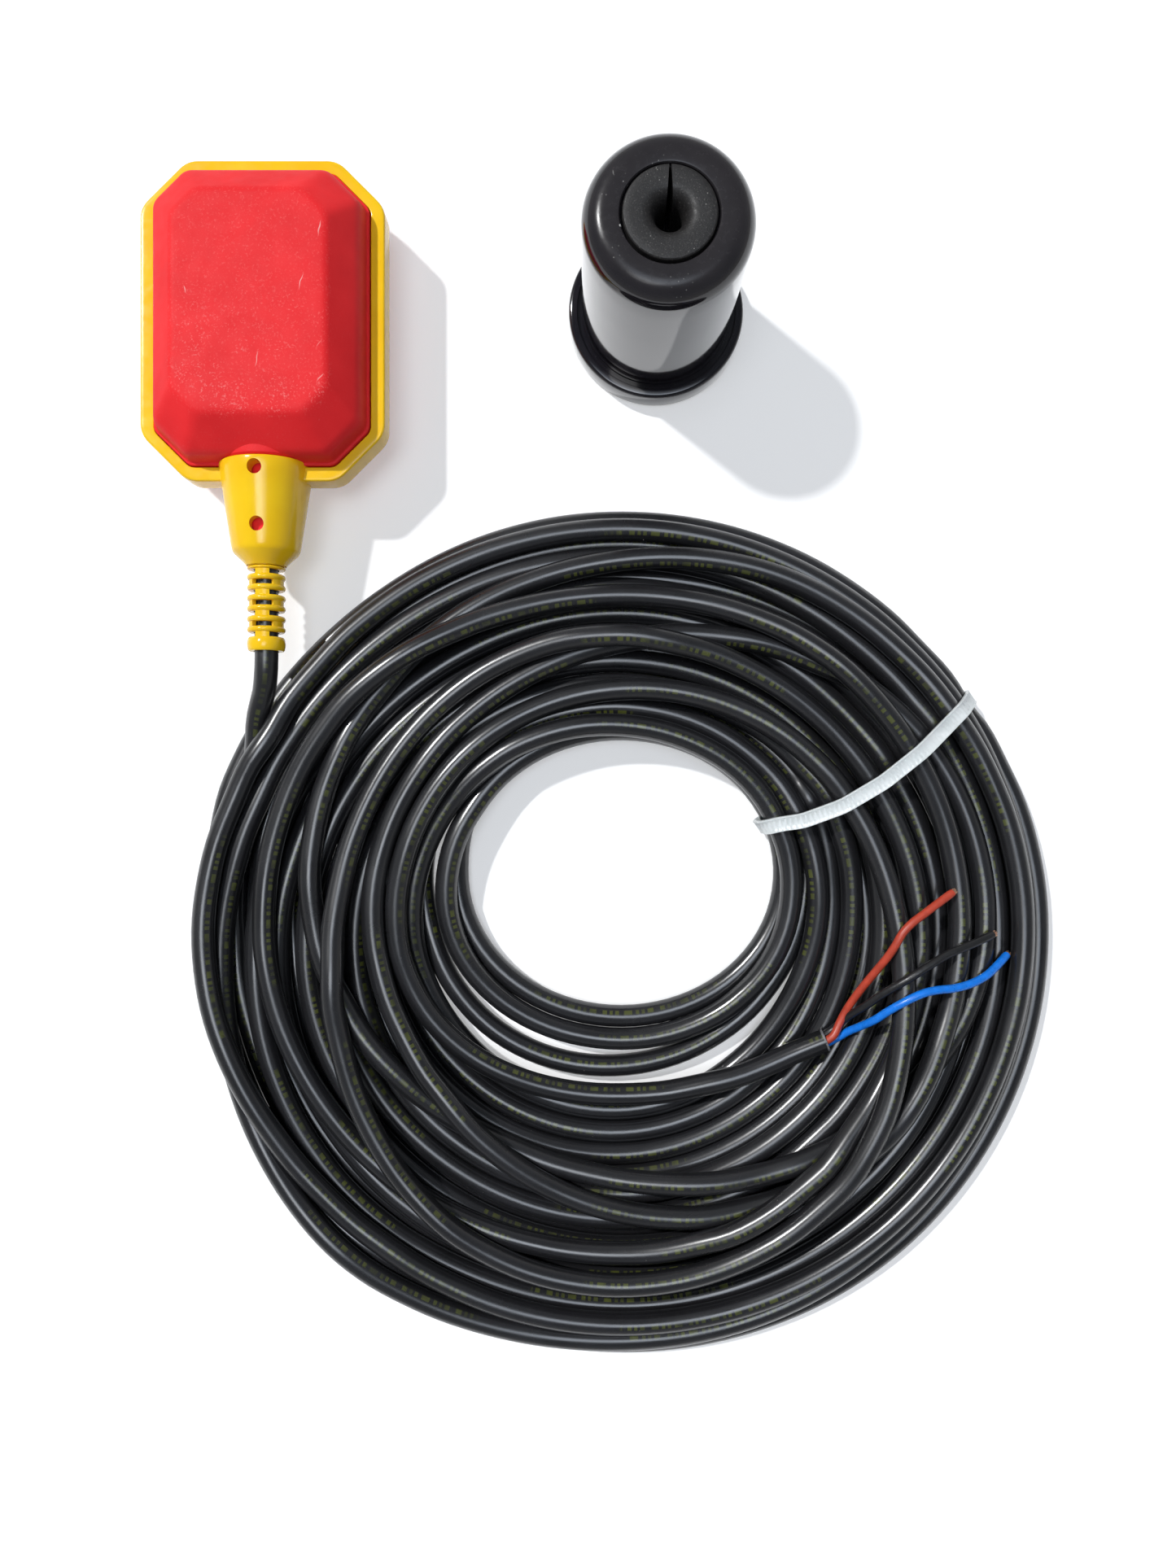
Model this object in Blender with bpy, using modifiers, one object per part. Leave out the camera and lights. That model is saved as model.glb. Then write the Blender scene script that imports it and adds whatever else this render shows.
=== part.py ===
"""A cable float switch with its coiled cable and its counterweight.

The float lies flat on the floor with its nose towards +Y, and its cable leaves
towards -Y into a coil. The origin is the middle of the float's flat underside.
Inside the float a ball rolls in a chamber and tips a lever onto a microswitch.
All sizes are in metres.
"""

import math

import bmesh
import bpy
from mathutils import Matrix, Vector

# Clearance between pieces that touch
FIT_GAP = 0.0003

# Float body, two equal dishes that meet at the middle
FLOAT_THICKNESS = 0.043
BODY_WIDTH = 0.0694
BODY_LENGTH = 0.094
BODY_CORNER_CUT = 0.0114
FACET_WIDTH = 0.0476
FACET_LENGTH = 0.0682
FACET_CORNER_CUT = 0.0075
SHOULDER_HEIGHT = 0.0125
SHOULDER_INSET = 0.0020
LEDGE_RISE = 0.0010
LEDGE_WIDTH = 0.0009
SHELL_WALL = 0.0025
FLANGE_REACH = 0.0024
FLANGE_THICKNESS = 0.0022
EDGE_ROUND = 0.0016

# Round neck that carries the cable out of the shells
NECK_DIAMETER = 0.0174
NECK_BORE = 0.0124
NECK_LENGTH = 0.025

# Ribs in the shells that hold the switch carrier
RIB_THICKNESS = 0.0016
RIB_OVERLAP = 0.0008
CROSS_RIB_PLACES = (-0.008, 0.022)
SIDE_RIB_HEIGHT = 0.008

# Yellow seam frame with the cable gland, one moulding
FRAME_SIDE_RIM = 0.0048
FRAME_END_RIM = 0.00475
FRAME_CORNER_CUT = 0.0152
FRAME_THICKNESS = 0.010
FRAME_ROUND = 0.0014
GLAND_RIM_DIAMETER = 0.030
GLAND_END_DIAMETER = 0.022
GLAND_LIP_DIAMETER = 0.0126
GLAND_RIM_INSET = 0.0014
GLAND_CONE_LENGTH = 0.0279
GLAND_CHAMFER_LENGTH = 0.0049
GLAND_RIM_ROUND = 0.0006
GLAND_HOLE_DIAMETER = 0.0046
GLAND_HOLE_STEPS = (0.0038, 0.0212)

# Cable and its cores
CABLE_DIAMETER = 0.0076
CORE_DIAMETER = 0.0027
CORE_CIRCLE_RADIUS = 0.0020
JACKET_INSET = 0.0055

# Slotted strain relief
RELIEF_FLANGE_DIAMETER = 0.0152
RELIEF_FLANGE_LENGTH = 0.0025
RELIEF_SHANK_DIAMETER = 0.0096
RELIEF_RIB_DIAMETER = 0.0122
RELIEF_BAR_DIAMETER = 0.0110
RELIEF_ROOT_LENGTH = 0.0010
RELIEF_SLOT = 0.0016
RELIEF_RIB = 0.0018
RELIEF_SLOT_COUNT = 7
RELIEF_FRONT_BAR = 0.0046
RELIEF_FRONT_SLOT = 0.0068
RELIEF_COLLAR_LENGTH = 0.0044
RELIEF_RIB_CHAMFER = 0.0005

# Clamp, seal and resin in the neck, from the inside outwards
CLAMP_FLANGE_DIAMETER = 0.0170
CLAMP_FLANGE_LENGTH = 0.0016
CLAMP_SLEEVE_LENGTH = 0.0068
SEAL_LENGTH = 0.0100
SEAL_ROOT_DIAMETER = 0.0106
SEAL_LIP = 0.0016

# Ball and its chamber
BALL_DIAMETER = 0.018
BALL_SIDE_PLAY = 0.0005
CHAMBER_WALL = 0.0015
CHAMBER_END_PLACE = 0.030
CHAMBER_MOUTH_PLACE = 0.0015
CHAMBER_ROUND = 0.0012

# Lever that the ball tips
LEVER_PIN_HEIGHT = 0.011
LEVER_PIN_PLACE = -0.00115
LEVER_PIN_DIAMETER = 0.0020
LEVER_PIN_LENGTH = 0.0220
LEVER_BARREL_DIAMETER = 0.0038
LEVER_BORE_PLAY = 0.00005
LEVER_THICKNESS = 0.0012
LEVER_WIDTH = 0.014
LEVER_DROP = 0.016
LEVER_NECK_WIDTH = 0.008
LEVER_SIDE_PLAY = 0.0006

# Microswitch
SWITCH_HEIGHT = 0.0198
SWITCH_DEPTH = 0.0102
SWITCH_THICKNESS = 0.0064
SWITCH_FRONT_PLACE = -0.0042
SWITCH_ROUND = 0.0005
PLUNGER_DIAMETER = 0.0028
PLUNGER_HEIGHT = 0.0053
PLUNGER_TIP_ROUND = 0.0006
PLUNGER_DEPTH = 0.0024
PLUNGER_TRAVEL_ROOM = 0.0014
TERMINAL_SPACING = 0.0076
TERMINAL_THICKNESS = 0.0005
TERMINAL_WIDTH = 0.0032
TERMINAL_LENGTH = 0.0062
SWITCH_PIN_SPACING = 0.0095
SWITCH_PIN_DEPTH = 0.0077
SWITCH_PIN_DIAMETER = 0.0018
SWITCH_PIN_LENGTH = 0.0135

# Carrier, in two halves round the chamber and the microswitch
CARRIER_WALL = 0.0018
CARRIER_ROOF = 0.0020
CARRIER_ROUND = 0.0010
CARRIER_WINDOW_WIDTH = 0.0048
SCREW_DIAMETER = 0.0026
SCREW_HEAD_DIAMETER = 0.0046
SCREW_HEAD_HEIGHT = 0.0016
SCREW_LENGTH = 0.020
SCREW_SIDE_PLACE = 0.0088
SCREW_PLACE = -0.0115

# Cable route from the strain relief to the coil, from the relief's end
LEAD_ROUTE = (
    (0.0, 0.0, 0.0),
    (0.0, -0.0039, -0.0002),
    (-0.0006, -0.0085, -0.0011),
)

# Coil of the cable: where its outside meets the lead, from the relief's end
COIL_APPROACH = math.radians(147.0)
COIL_TOUCH_SIDE = -0.003188
COIL_TOUCH_DISTANCE = 0.0148
COIL_INNER_RADIUS = 0.050
COIL_OUTER_RADIUS = 0.1445
COIL_HEIGHT = 0.0228
COIL_SECTION_POWER = 2.6

# Cable end that lies on the coil, and its three bare cores, from the middle of the coil's top
TAIL_ROUTE = (
    (0.0055, -0.0596, 0.0023),
    (0.0150, -0.0577, 0.0022),
    (0.0252, -0.0539, 0.0021),
    (0.0360, -0.0479, 0.0023),
    (0.0465, -0.0404, 0.0027),
    (0.0560, -0.0334, 0.0032),
    (0.0642, -0.0296, 0.0035),
)
CORE_ROUTES = {
    "brown": (
        (0.0733, -0.0207, 0.0047),
        (0.0805, -0.0114, 0.0038),
        (0.0870, 0.0001, 0.0028),
        (0.0915, 0.0066, 0.0028),
        (0.1000, 0.0166, 0.0038),
    ),
    "black": (
        (0.0745, -0.0229, 0.0026),
        (0.0840, -0.0154, 0.0022),
        (0.0950, -0.0089, 0.0022),
        (0.1045, -0.0024, 0.0023),
        (0.1140, 0.0034, 0.0028),
    ),
    "blue": (
        (0.0755, -0.0266, 0.0026),
        (0.0870, -0.0209, 0.0022),
        (0.0970, -0.0169, 0.0022),
        (0.1080, -0.0116, 0.0023),
        (0.1205, -0.0046, 0.0028),
    ),
}

# Cable tie round the coil's section
TIE_ANGLE = math.radians(35.0)
TIE_INNER_PINCH = 0.007
TIE_OUTER_PINCH = 0.0075
TIE_STRAP_WIDTH = 0.0050
TIE_STRAP_THICKNESS = 0.0012
TIE_HEAD_WIDTH = 0.0078
TIE_HEAD_LENGTH = 0.0072
TIE_HEAD_HEIGHT = 0.0048
TIE_HEAD_INSET = 0.028
TIE_LOOP_POWER = 3.0

# Counterweight, which stands beside the float
WEIGHT_SIDE_PLACE = 0.128
WEIGHT_NOSE_PLACE = 0.0105
WEIGHT_HEIGHT = 0.076
WEIGHT_DIAMETER = 0.050
WEIGHT_WALL = 0.0022
WEIGHT_TOP_WALL = 0.0032
WEIGHT_TOP_ROUND = 0.0068
WEIGHT_FLANGE_REACH = 0.0045
WEIGHT_BASE_HEIGHT = 0.009
WEIGHT_BASE_ROUND = 0.0009
WEIGHT_BASE_BORE = 0.012
WEIGHT_GROOVE_WIDTH = 0.0013
WEIGHT_GROOVE_DEPTH = 0.0014
WEIGHT_PLUG_HEIGHT = 0.0026
WEIGHT_RIM_WIDTH = 0.0115
BUSH_LENGTH = 0.0185
BUSH_RECESS = 0.0012
BUSH_FUNNEL_DIAMETER = 0.0125
BUSH_FUNNEL_DEPTH = 0.0052
BUSH_HOLE_DIAMETER = 0.0078
BUSH_SLIT_INNER = 0.0018
BUSH_SLIT_OUTER = 0.0006
SOCKET_WALL = 0.0016
SOCKET_LIP = 0.0050
SLUG_HEIGHT = 0.040

# Facets round each kind of turned piece
FINE_STEPS = 32
PLAIN_STEPS = 20
RELIEF_STEPS = 24
SMALL_STEPS = 16
ARC_STEPS = 4
FINE_ARC_STEPS = 5
LOOP_POINTS = 18
COIL_STEPS = 40

# Places that follow from the sizes above
MID_HEIGHT = FLOAT_THICKNESS / 2
NECK_RADIUS = NECK_DIAMETER / 2
CABLE_RADIUS = CABLE_DIAMETER / 2
CABLE_BORE_RADIUS = CABLE_RADIUS + FIT_GAP
CHAMBER_RADIUS = BALL_DIAMETER / 2 + BALL_SIDE_PLAY + CHAMBER_WALL
CARRIER_HALF_WIDTH = CHAMBER_RADIUS + FIT_GAP + CARRIER_WALL
LEVER_TOP = LEVER_PIN_HEIGHT + LEVER_BARREL_DIAMETER / 2
CARRIER_HALF_HEIGHT = LEVER_TOP + FIT_GAP + CARRIER_ROOF
CARRIER_NOSE = CHAMBER_END_PLACE + CHAMBER_WALL + FIT_GAP + CARRIER_WALL
SWITCH_BACK_PLACE = SWITCH_FRONT_PLACE - SWITCH_DEPTH
CARRIER_TAIL = SWITCH_BACK_PLACE - FIT_GAP - CARRIER_WALL
FRAME_WIDTH = BODY_WIDTH + 2 * FRAME_SIDE_RIM
FRAME_LENGTH = BODY_LENGTH + 2 * FRAME_END_RIM
NECK_REACH = BODY_LENGTH / 2 + NECK_LENGTH
JACKET_END_PLACE = BODY_LENGTH / 2 - JACKET_INSET
RELIEF_START = NECK_REACH + FIT_GAP
GLAND_RIM_PLACE = BODY_LENGTH / 2 - GLAND_RIM_INSET
GLAND_END_PLACE = GLAND_RIM_PLACE + GLAND_CONE_LENGTH + GLAND_CHAMFER_LENGTH
WEIGHT_BASE_DIAMETER = WEIGHT_DIAMETER + 2 * WEIGHT_FLANGE_REACH
BUSH_DIAMETER = WEIGHT_DIAMETER - 2 * WEIGHT_RIM_WIDTH
RELIEF_PITCH = RELIEF_SLOT + RELIEF_RIB
RELIEF_SLOTS_LENGTH = RELIEF_SLOT_COUNT * RELIEF_PITCH - RELIEF_RIB
RELIEF_SLOTS_START = GLAND_END_PLACE + FIT_GAP + RELIEF_ROOT_LENGTH
RELIEF_END = RELIEF_SLOTS_START + RELIEF_SLOTS_LENGTH + RELIEF_COLLAR_LENGTH
COIL_CENTRE = (
    COIL_TOUCH_SIDE - COIL_OUTER_RADIUS * math.cos(COIL_APPROACH),
    -RELIEF_END - COIL_TOUCH_DISTANCE - COIL_OUTER_RADIUS * math.sin(COIL_APPROACH),
)
TIE_INNER_RADIUS = COIL_INNER_RADIUS + TIE_INNER_PINCH
TIE_OUTER_RADIUS = COIL_OUTER_RADIUS - TIE_OUTER_PINCH
TIE_HEAD_PLACE = COIL_INNER_RADIUS + TIE_HEAD_INSET


def empty_scene():
    """Remove every object and give back the collections for parts and cutters."""
    for item in list(bpy.data.objects):
        bpy.data.objects.remove(item, do_unlink=True)
    parts = bpy.data.collections.new("cable_float_switch")
    tools = bpy.data.collections.new("cutters")
    bpy.context.scene.collection.children.link(parts)
    bpy.context.scene.collection.children.link(tools)
    return parts, tools


PARTS, CUTTERS = empty_scene()


def plain_material(name, colour, roughness, metallic=0.0):
    """A Principled material of one colour."""
    material = bpy.data.materials.new(name)
    material.use_nodes = True
    shader = material.node_tree.nodes["Principled BSDF"]
    shader.inputs["Base Color"].default_value = (*colour, 1.0)
    shader.inputs["Roughness"].default_value = roughness
    shader.inputs["Metallic"].default_value = metallic
    return material


RED = plain_material("red_float_plastic", (0.76, 0.022, 0.024), 0.45)
YELLOW = plain_material("yellow_gloss_plastic", (0.95, 0.61, 0.012), 0.22)
BLACK_PVC = plain_material("black_cable_jacket", (0.012, 0.012, 0.012), 0.36)
BLACK_GLOSS = plain_material("black_gloss_plastic", (0.011, 0.011, 0.011), 0.18)
RUBBER = plain_material("black_rubber", (0.028, 0.028, 0.028), 0.75)
NYLON = plain_material("clear_nylon", (0.73, 0.75, 0.73), 0.35)
STEEL = plain_material("bright_steel", (0.60, 0.60, 0.60), 0.25, 1.0)
IRON = plain_material("cast_iron", (0.10, 0.10, 0.105), 0.60, 1.0)
BRASS = plain_material("tinned_brass", (0.72, 0.60, 0.36), 0.30, 1.0)
CARRIER_WHITE = plain_material("white_carrier_plastic", (0.72, 0.72, 0.70), 0.50)
SWITCH_BLACK = plain_material("black_switch_plastic", (0.02, 0.02, 0.022), 0.40)
RESIN = plain_material("grey_resin", (0.10, 0.10, 0.11), 0.30)
BROWN = plain_material("brown_core", (0.40, 0.055, 0.028), 0.42)
BLACK_CORE = plain_material("black_core", (0.015, 0.015, 0.015), 0.45)
BLUE = plain_material("blue_core", (0.006, 0.19, 0.75), 0.40)
CORE_MATERIALS = {"brown": BROWN, "black": BLACK_CORE, "blue": BLUE}


def anchor(name, location, turn=0.0, parent=None):
    """An empty that carries the pieces of one group, turned about its Y axis."""
    empty = bpy.data.objects.new(name, None)
    empty.location = location
    empty.rotation_euler = (0.0, turn, 0.0)
    empty.parent = parent
    PARTS.objects.link(empty)
    return empty


def add_part(name, mesh, material, parent=None, location=(0.0, 0.0, 0.0)):
    """Put one sub-part in the parts collection, shaded smooth between its edges."""
    mesh.name = name
    part = bpy.data.objects.new(name, mesh)
    part.parent = parent
    part.location = location
    mesh.materials.clear()
    mesh.materials.append(material)
    mesh.shade_smooth()
    mesh.set_sharp_from_angle(angle=math.radians(35.0))
    PARTS.objects.link(part)
    return part


def combine(part, mesh, operation):
    """Cut a mesh from a part, or join it, in the part's own frame."""
    tool = bpy.data.objects.new(part.name + "_" + operation.lower(), mesh)
    tool.parent = part.parent
    tool.location = part.location
    tool.display_type = "WIRE"
    tool.hide_render = True
    CUTTERS.objects.link(tool)
    modifier = part.modifiers.new(operation.title(), "BOOLEAN")
    modifier.operation = operation
    modifier.object = tool
    modifier.solver = "EXACT"


def cut(part, *meshes):
    """Cut each mesh from a part."""
    for mesh in meshes:
        combine(part, mesh, "DIFFERENCE")


def join(part, *meshes):
    """Join each mesh to a part."""
    for mesh in meshes:
        combine(part, mesh, "UNION")


def bevel(part, width, segments=2):
    """Round a part's sharp edges."""
    modifier = part.modifiers.new("Rounded edges", "BEVEL")
    modifier.width = width
    modifier.segments = segments
    modifier.limit_method = "ANGLE"
    modifier.angle_limit = math.radians(30.0)


def mesh_from(bm, name="shape"):
    """Make a mesh of a bmesh, with its faces pointing out."""
    bmesh.ops.recalc_face_normals(bm, faces=bm.faces)
    mesh = bpy.data.meshes.new(name)
    bm.to_mesh(mesh)
    bm.free()
    return mesh


def box(low, high):
    """A box between two corners."""
    low = Vector(low)
    high = Vector(high)
    size = high - low
    bm = bmesh.new()
    place = Matrix.Translation((low + high) / 2) @ Matrix.Diagonal((*size, 1.0))
    bmesh.ops.create_cube(bm, size=1.0, matrix=place)
    return mesh_from(bm)


def rod(radius, start, end, steps=PLAIN_STEPS):
    """A cylinder from one point to another."""
    start = Vector(start)
    end = Vector(end)
    along = end - start
    turn = along.to_track_quat("Z", "Y").to_matrix().to_4x4()
    bm = bmesh.new()
    bmesh.ops.create_cone(
        bm,
        cap_ends=True,
        segments=steps,
        radius1=radius,
        radius2=radius,
        depth=along.length,
        matrix=Matrix.Translation((start + end) / 2) @ turn,
    )
    return mesh_from(bm)


def turned(profile, steps=PLAIN_STEPS, closed=False, along_cable=False):
    """Turn a profile of (radius, height) points about the Z axis.

    The profile runs down its outer side. A closed profile makes a ring, and an open
    one starts and ends on the axis. With along_cable the axis is laid along -Y, so
    a height becomes a distance towards the cable.
    """
    outline = bpy.data.meshes.new("profile")
    count = len(profile)
    edges = [(i, i + 1) for i in range(count - 1)]
    if closed:
        edges.append((count - 1, 0))
    outline.from_pydata([(r, 0.0, h) for r, h in profile], edges, [])
    turning = bpy.data.objects.new("profile", outline)
    CUTTERS.objects.link(turning)
    screw = turning.modifiers.new("Turn", "SCREW")
    screw.steps = steps
    screw.render_steps = steps
    screw.use_merge_vertices = True
    screw.merge_threshold = 0.00001
    graph = bpy.context.evaluated_depsgraph_get()
    mesh = bpy.data.meshes.new_from_object(turning.evaluated_get(graph))
    bpy.data.objects.remove(turning, do_unlink=True)
    bm = bmesh.new()
    bm.from_mesh(mesh)
    if along_cable:
        bm.transform(Matrix.Rotation(math.radians(90.0), 4, "X"))
    return mesh_from(bm)


def arc(centre, radius, start, end, steps=ARC_STEPS):
    """Points of an arc of a profile, with its angles in degrees."""
    points = []
    for i in range(steps + 1):
        angle = math.radians(start + (end - start) * i / steps)
        points.append(
            (centre[0] + radius * math.cos(angle), centre[1] + radius * math.sin(angle))
        )
    return points


def octagon(half_x, half_y, corner_cut, height):
    """The eight corners of a rectangle with its corners cut off at 45 degrees."""
    x_in = half_x - corner_cut
    y_in = half_y - corner_cut
    flat = (
        (half_x, -y_in), (half_x, y_in), (x_in, half_y), (-x_in, half_y),
        (-half_x, y_in), (-half_x, -y_in), (-x_in, -half_y), (x_in, -half_y),
    )
    return [(x, y, height) for x, y in flat]


def grown(outline, by):
    """An octagon's half width, half length and corner cut, set outwards by a distance."""
    half_x, half_y, corner_cut = outline
    return half_x + by, half_y + by, corner_cut + by * (2.0 - math.sqrt(2.0))


def loft(rings, rounding=0.0, rounded_from=0, segments=2):
    """A closed solid through octagon rings, with the edges from one ring on rounded."""
    bm = bmesh.new()
    layers = [[bm.verts.new(point) for point in ring] for ring in rings]
    count = len(layers[0])
    for lower, upper in zip(layers, layers[1:]):
        for i in range(count):
            j = (i + 1) % count
            bm.faces.new((lower[i], lower[j], upper[j], upper[i]))
    bm.faces.new(list(reversed(layers[0])))
    bm.faces.new(layers[-1])
    if rounding > 0.0:
        chosen = {vertex for layer in layers[rounded_from:] for vertex in layer}
        edges = [edge for edge in bm.edges if all(v in chosen for v in edge.verts)]
        bmesh.ops.bevel(
            bm,
            geom=edges,
            offset=rounding,
            segments=segments,
            profile=0.5,
            affect="EDGES",
            clamp_overlap=True,
        )
    return mesh_from(bm)


BODY_OUTLINE = (BODY_WIDTH / 2, BODY_LENGTH / 2, BODY_CORNER_CUT)
FACET_OUTLINE = (FACET_WIDTH / 2, FACET_LENGTH / 2, FACET_CORNER_CUT)
FRAME_OUTLINE = (FRAME_WIDTH / 2, FRAME_LENGTH / 2, FRAME_CORNER_CUT)
LEDGE_HEIGHT = FRAME_THICKNESS / 2 + LEDGE_RISE


def dish_rings(allowance):
    """Rings of one dish's outside, from the middle up, set out by an allowance."""
    body = grown(BODY_OUTLINE, allowance)
    flange = grown(BODY_OUTLINE, FLANGE_REACH + allowance)
    above_ledge = grown(body, -LEDGE_WIDTH)
    shoulder = grown(body, -SHOULDER_INSET)
    facet = grown(FACET_OUTLINE, allowance)
    flange_top = FLANGE_THICKNESS + allowance
    ledge = LEDGE_HEIGHT + allowance
    return [
        octagon(*flange, 0.0 if allowance else FIT_GAP / 2),
        octagon(*flange, flange_top),
        octagon(*body, flange_top),
        octagon(*body, ledge),
        octagon(*above_ledge, ledge),
        octagon(*shoulder, SHOULDER_HEIGHT + allowance),
        octagon(*facet, MID_HEIGHT + allowance),
    ]


def cavity():
    """The hollow of one dish, one wall inside its outer form."""
    inner_body = grown(BODY_OUTLINE, -SHELL_WALL)
    inner_shoulder = grown(BODY_OUTLINE, -SHELL_WALL - SHOULDER_INSET)
    inner_facet = grown(FACET_OUTLINE, -SHELL_WALL / 2)
    return loft(
        [
            octagon(*inner_body, -SHELL_WALL),
            octagon(*inner_body, LEDGE_HEIGHT - SHELL_WALL / 2),
            octagon(*inner_shoulder, SHOULDER_HEIGHT - SHELL_WALL / 2),
            octagon(*inner_facet, MID_HEIGHT - SHELL_WALL),
        ]
    )


def shell_ribs():
    """Cross ribs over the carrier, side ribs beside it and stops at its ends."""
    inner_top = MID_HEIGHT - SHELL_WALL + RIB_OVERLAP
    inner_side = BODY_WIDTH / 2 - SHELL_WALL + RIB_OVERLAP
    roof = CARRIER_HALF_HEIGHT + FIT_GAP
    side = CARRIER_HALF_WIDTH + FIT_GAP
    half = RIB_THICKNESS / 2
    ribs = []
    for place in CROSS_RIB_PLACES:
        ribs.append(box((-side, place - half, roof), (side, place + half, inner_top)))
        for sign in (-1, 1):
            near = sign * side
            far = sign * inner_side
            low = (min(near, far), place - half, FIT_GAP / 2)
            ribs.append(box(low, (max(near, far), place + half, SIDE_RIB_HEIGHT)))
    ends = (
        (CARRIER_NOSE + FIT_GAP, CARRIER_NOSE + FIT_GAP + RIB_THICKNESS),
        (CARRIER_TAIL - FIT_GAP - RIB_THICKNESS, CARRIER_TAIL - FIT_GAP),
    )
    drop = CARRIER_HALF_HEIGHT - SIDE_RIB_HEIGHT / 2
    for near, far in ends:
        ribs.append(box((-side, near, drop), (side, far, inner_top)))
    return ribs


def half_shell(name, parent):
    """One red dish with its half of the neck and its ribs."""
    outside = loft(dish_rings(0.0), EDGE_ROUND, 5, 3)
    shell = add_part(name, outside, RED, parent)
    inner_end = BODY_LENGTH / 2 - SHELL_WALL
    join(shell, rod(NECK_RADIUS, (0, -inner_end, 0), (0, -NECK_REACH, 0), FINE_STEPS))
    cut(shell, cavity())
    bore_start = inner_end - SHELL_WALL
    cut(shell, rod(NECK_BORE / 2, (0, -bore_start, 0), (0, -NECK_REACH - SHELL_WALL, 0)))
    seat_start = inner_end - CLAMP_FLANGE_LENGTH - SHELL_WALL
    seat = CLAMP_FLANGE_DIAMETER / 2 + FIT_GAP
    cut(shell, rod(seat, (0, -seat_start, 0), (0, -inner_end, 0), FINE_STEPS))
    join(shell, *shell_ribs())
    reach = FRAME_LENGTH
    cut(shell, box((-reach, -reach, -reach), (reach, reach, FIT_GAP / 2)))
    return shell


def frame_and_gland(parent):
    """The yellow frame round the seam and the conical gland, moulded as one."""
    half = FRAME_THICKNESS / 2
    prism = loft(
        [octagon(*FRAME_OUTLINE, -half), octagon(*FRAME_OUTLINE, half)], FRAME_ROUND, 0, 3
    )
    frame = add_part("frame_and_gland", prism, YELLOW, parent)
    rim = GLAND_RIM_DIAMETER / 2
    end = GLAND_END_DIAMETER / 2
    cone_end = GLAND_RIM_PLACE + GLAND_CONE_LENGTH
    cone = turned(
        [
            (0.0, GLAND_RIM_PLACE),
            (rim - GLAND_RIM_ROUND, GLAND_RIM_PLACE),
            (rim, GLAND_RIM_PLACE + GLAND_RIM_ROUND),
            (end, cone_end),
            (GLAND_LIP_DIAMETER / 2, GLAND_END_PLACE),
            (0.0, GLAND_END_PLACE),
        ],
        FINE_STEPS,
        along_cable=True,
    )
    join(frame, cone)
    dish = dish_rings(FIT_GAP)
    lower = [[(x, y, -z) for x, y, z in ring] for ring in reversed(dish)]
    cut(frame, loft(lower[:-1] + dish[1:]))
    neck = NECK_RADIUS + FIT_GAP
    pocket = RELIEF_FLANGE_DIAMETER / 2 + FIT_GAP
    opening = RELIEF_SHANK_DIAMETER / 2 + FIT_GAP
    pocket_end = RELIEF_START + RELIEF_FLANGE_LENGTH + FIT_GAP
    inside = BODY_LENGTH / 2 - SHELL_WALL
    bore = turned(
        [
            (0.0, inside),
            (neck, inside),
            (neck, RELIEF_START),
            (pocket, RELIEF_START),
            (pocket, pocket_end),
            (opening, pocket_end),
            (opening, GLAND_END_PLACE + SHELL_WALL),
            (0.0, GLAND_END_PLACE + SHELL_WALL),
        ],
        FINE_STEPS,
        along_cable=True,
    )
    cut(frame, bore)
    for step in GLAND_HOLE_STEPS:
        place = GLAND_RIM_PLACE + step
        radius = GLAND_HOLE_DIAMETER / 2
        cut(frame, rod(radius, (0, -place, -rim), (0, -place, rim), SMALL_STEPS))
    return frame


def relief_profile():
    """The strain relief's outline: flange, shank, then ribs with waists between."""
    shank = RELIEF_SHANK_DIAMETER / 2
    rib = RELIEF_RIB_DIAMETER / 2
    bar = RELIEF_BAR_DIAMETER / 2
    soft = RELIEF_RIB_CHAMFER
    bore = CABLE_BORE_RADIUS
    start = RELIEF_START
    place = GLAND_END_PLACE + FIT_GAP
    points = [
        (bore, start),
        (RELIEF_FLANGE_DIAMETER / 2, start),
        (RELIEF_FLANGE_DIAMETER / 2, start + RELIEF_FLANGE_LENGTH),
        (shank, start + RELIEF_FLANGE_LENGTH),
        (shank, place),
        (rib, place),
    ]
    place += RELIEF_ROOT_LENGTH
    points.append((rib, place - soft))
    points.append((bar, place))
    for row in range(RELIEF_SLOT_COUNT):
        place += RELIEF_SLOT
        if row < RELIEF_SLOT_COUNT - 1:
            points.append((bar, place))
            points.append((rib, place + soft))
            place += RELIEF_RIB
            points.append((rib, place - soft))
            points.append((bar, place))
    points.append((bar, place))
    points.append((rib, place + soft))
    place += RELIEF_COLLAR_LENGTH
    points.append((rib, place - soft))
    points.append((rib - soft, place))
    points.append((bore, place))
    return points


def strain_relief(parent):
    """The slotted sleeve: side slots and front slots by turns leave bars that flex."""
    relief = add_part(
        "strain_relief",
        turned(relief_profile(), RELIEF_STEPS, closed=True, along_cable=True),
        YELLOW,
        parent,
    )
    far = RELIEF_RIB_DIAMETER
    place = RELIEF_SLOTS_START
    for row in range(RELIEF_SLOT_COUNT):
        near = -place - RELIEF_SLOT
        if row % 2 == 0:
            bar = RELIEF_FRONT_BAR / 2
            cut(relief, box((-far, near, -far), (-bar, -place, far)))
            cut(relief, box((bar, near, -far), (far, -place, far)))
        else:
            half_slot = RELIEF_FRONT_SLOT / 2
            cut(relief, box((-half_slot, near, -far), (half_slot, -place, far)))
        place += RELIEF_PITCH
    return relief


def sleeve(name, material, parent, start, length, outer_radius):
    """A plain ring round the cable, from a distance along it."""
    points = [
        (CABLE_BORE_RADIUS, start),
        (outer_radius, start),
        (outer_radius, start + length),
        (CABLE_BORE_RADIUS, start + length),
    ]
    mesh = turned(points, PLAIN_STEPS, closed=True, along_cable=True)
    return add_part(name, mesh, material, parent)


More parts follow.
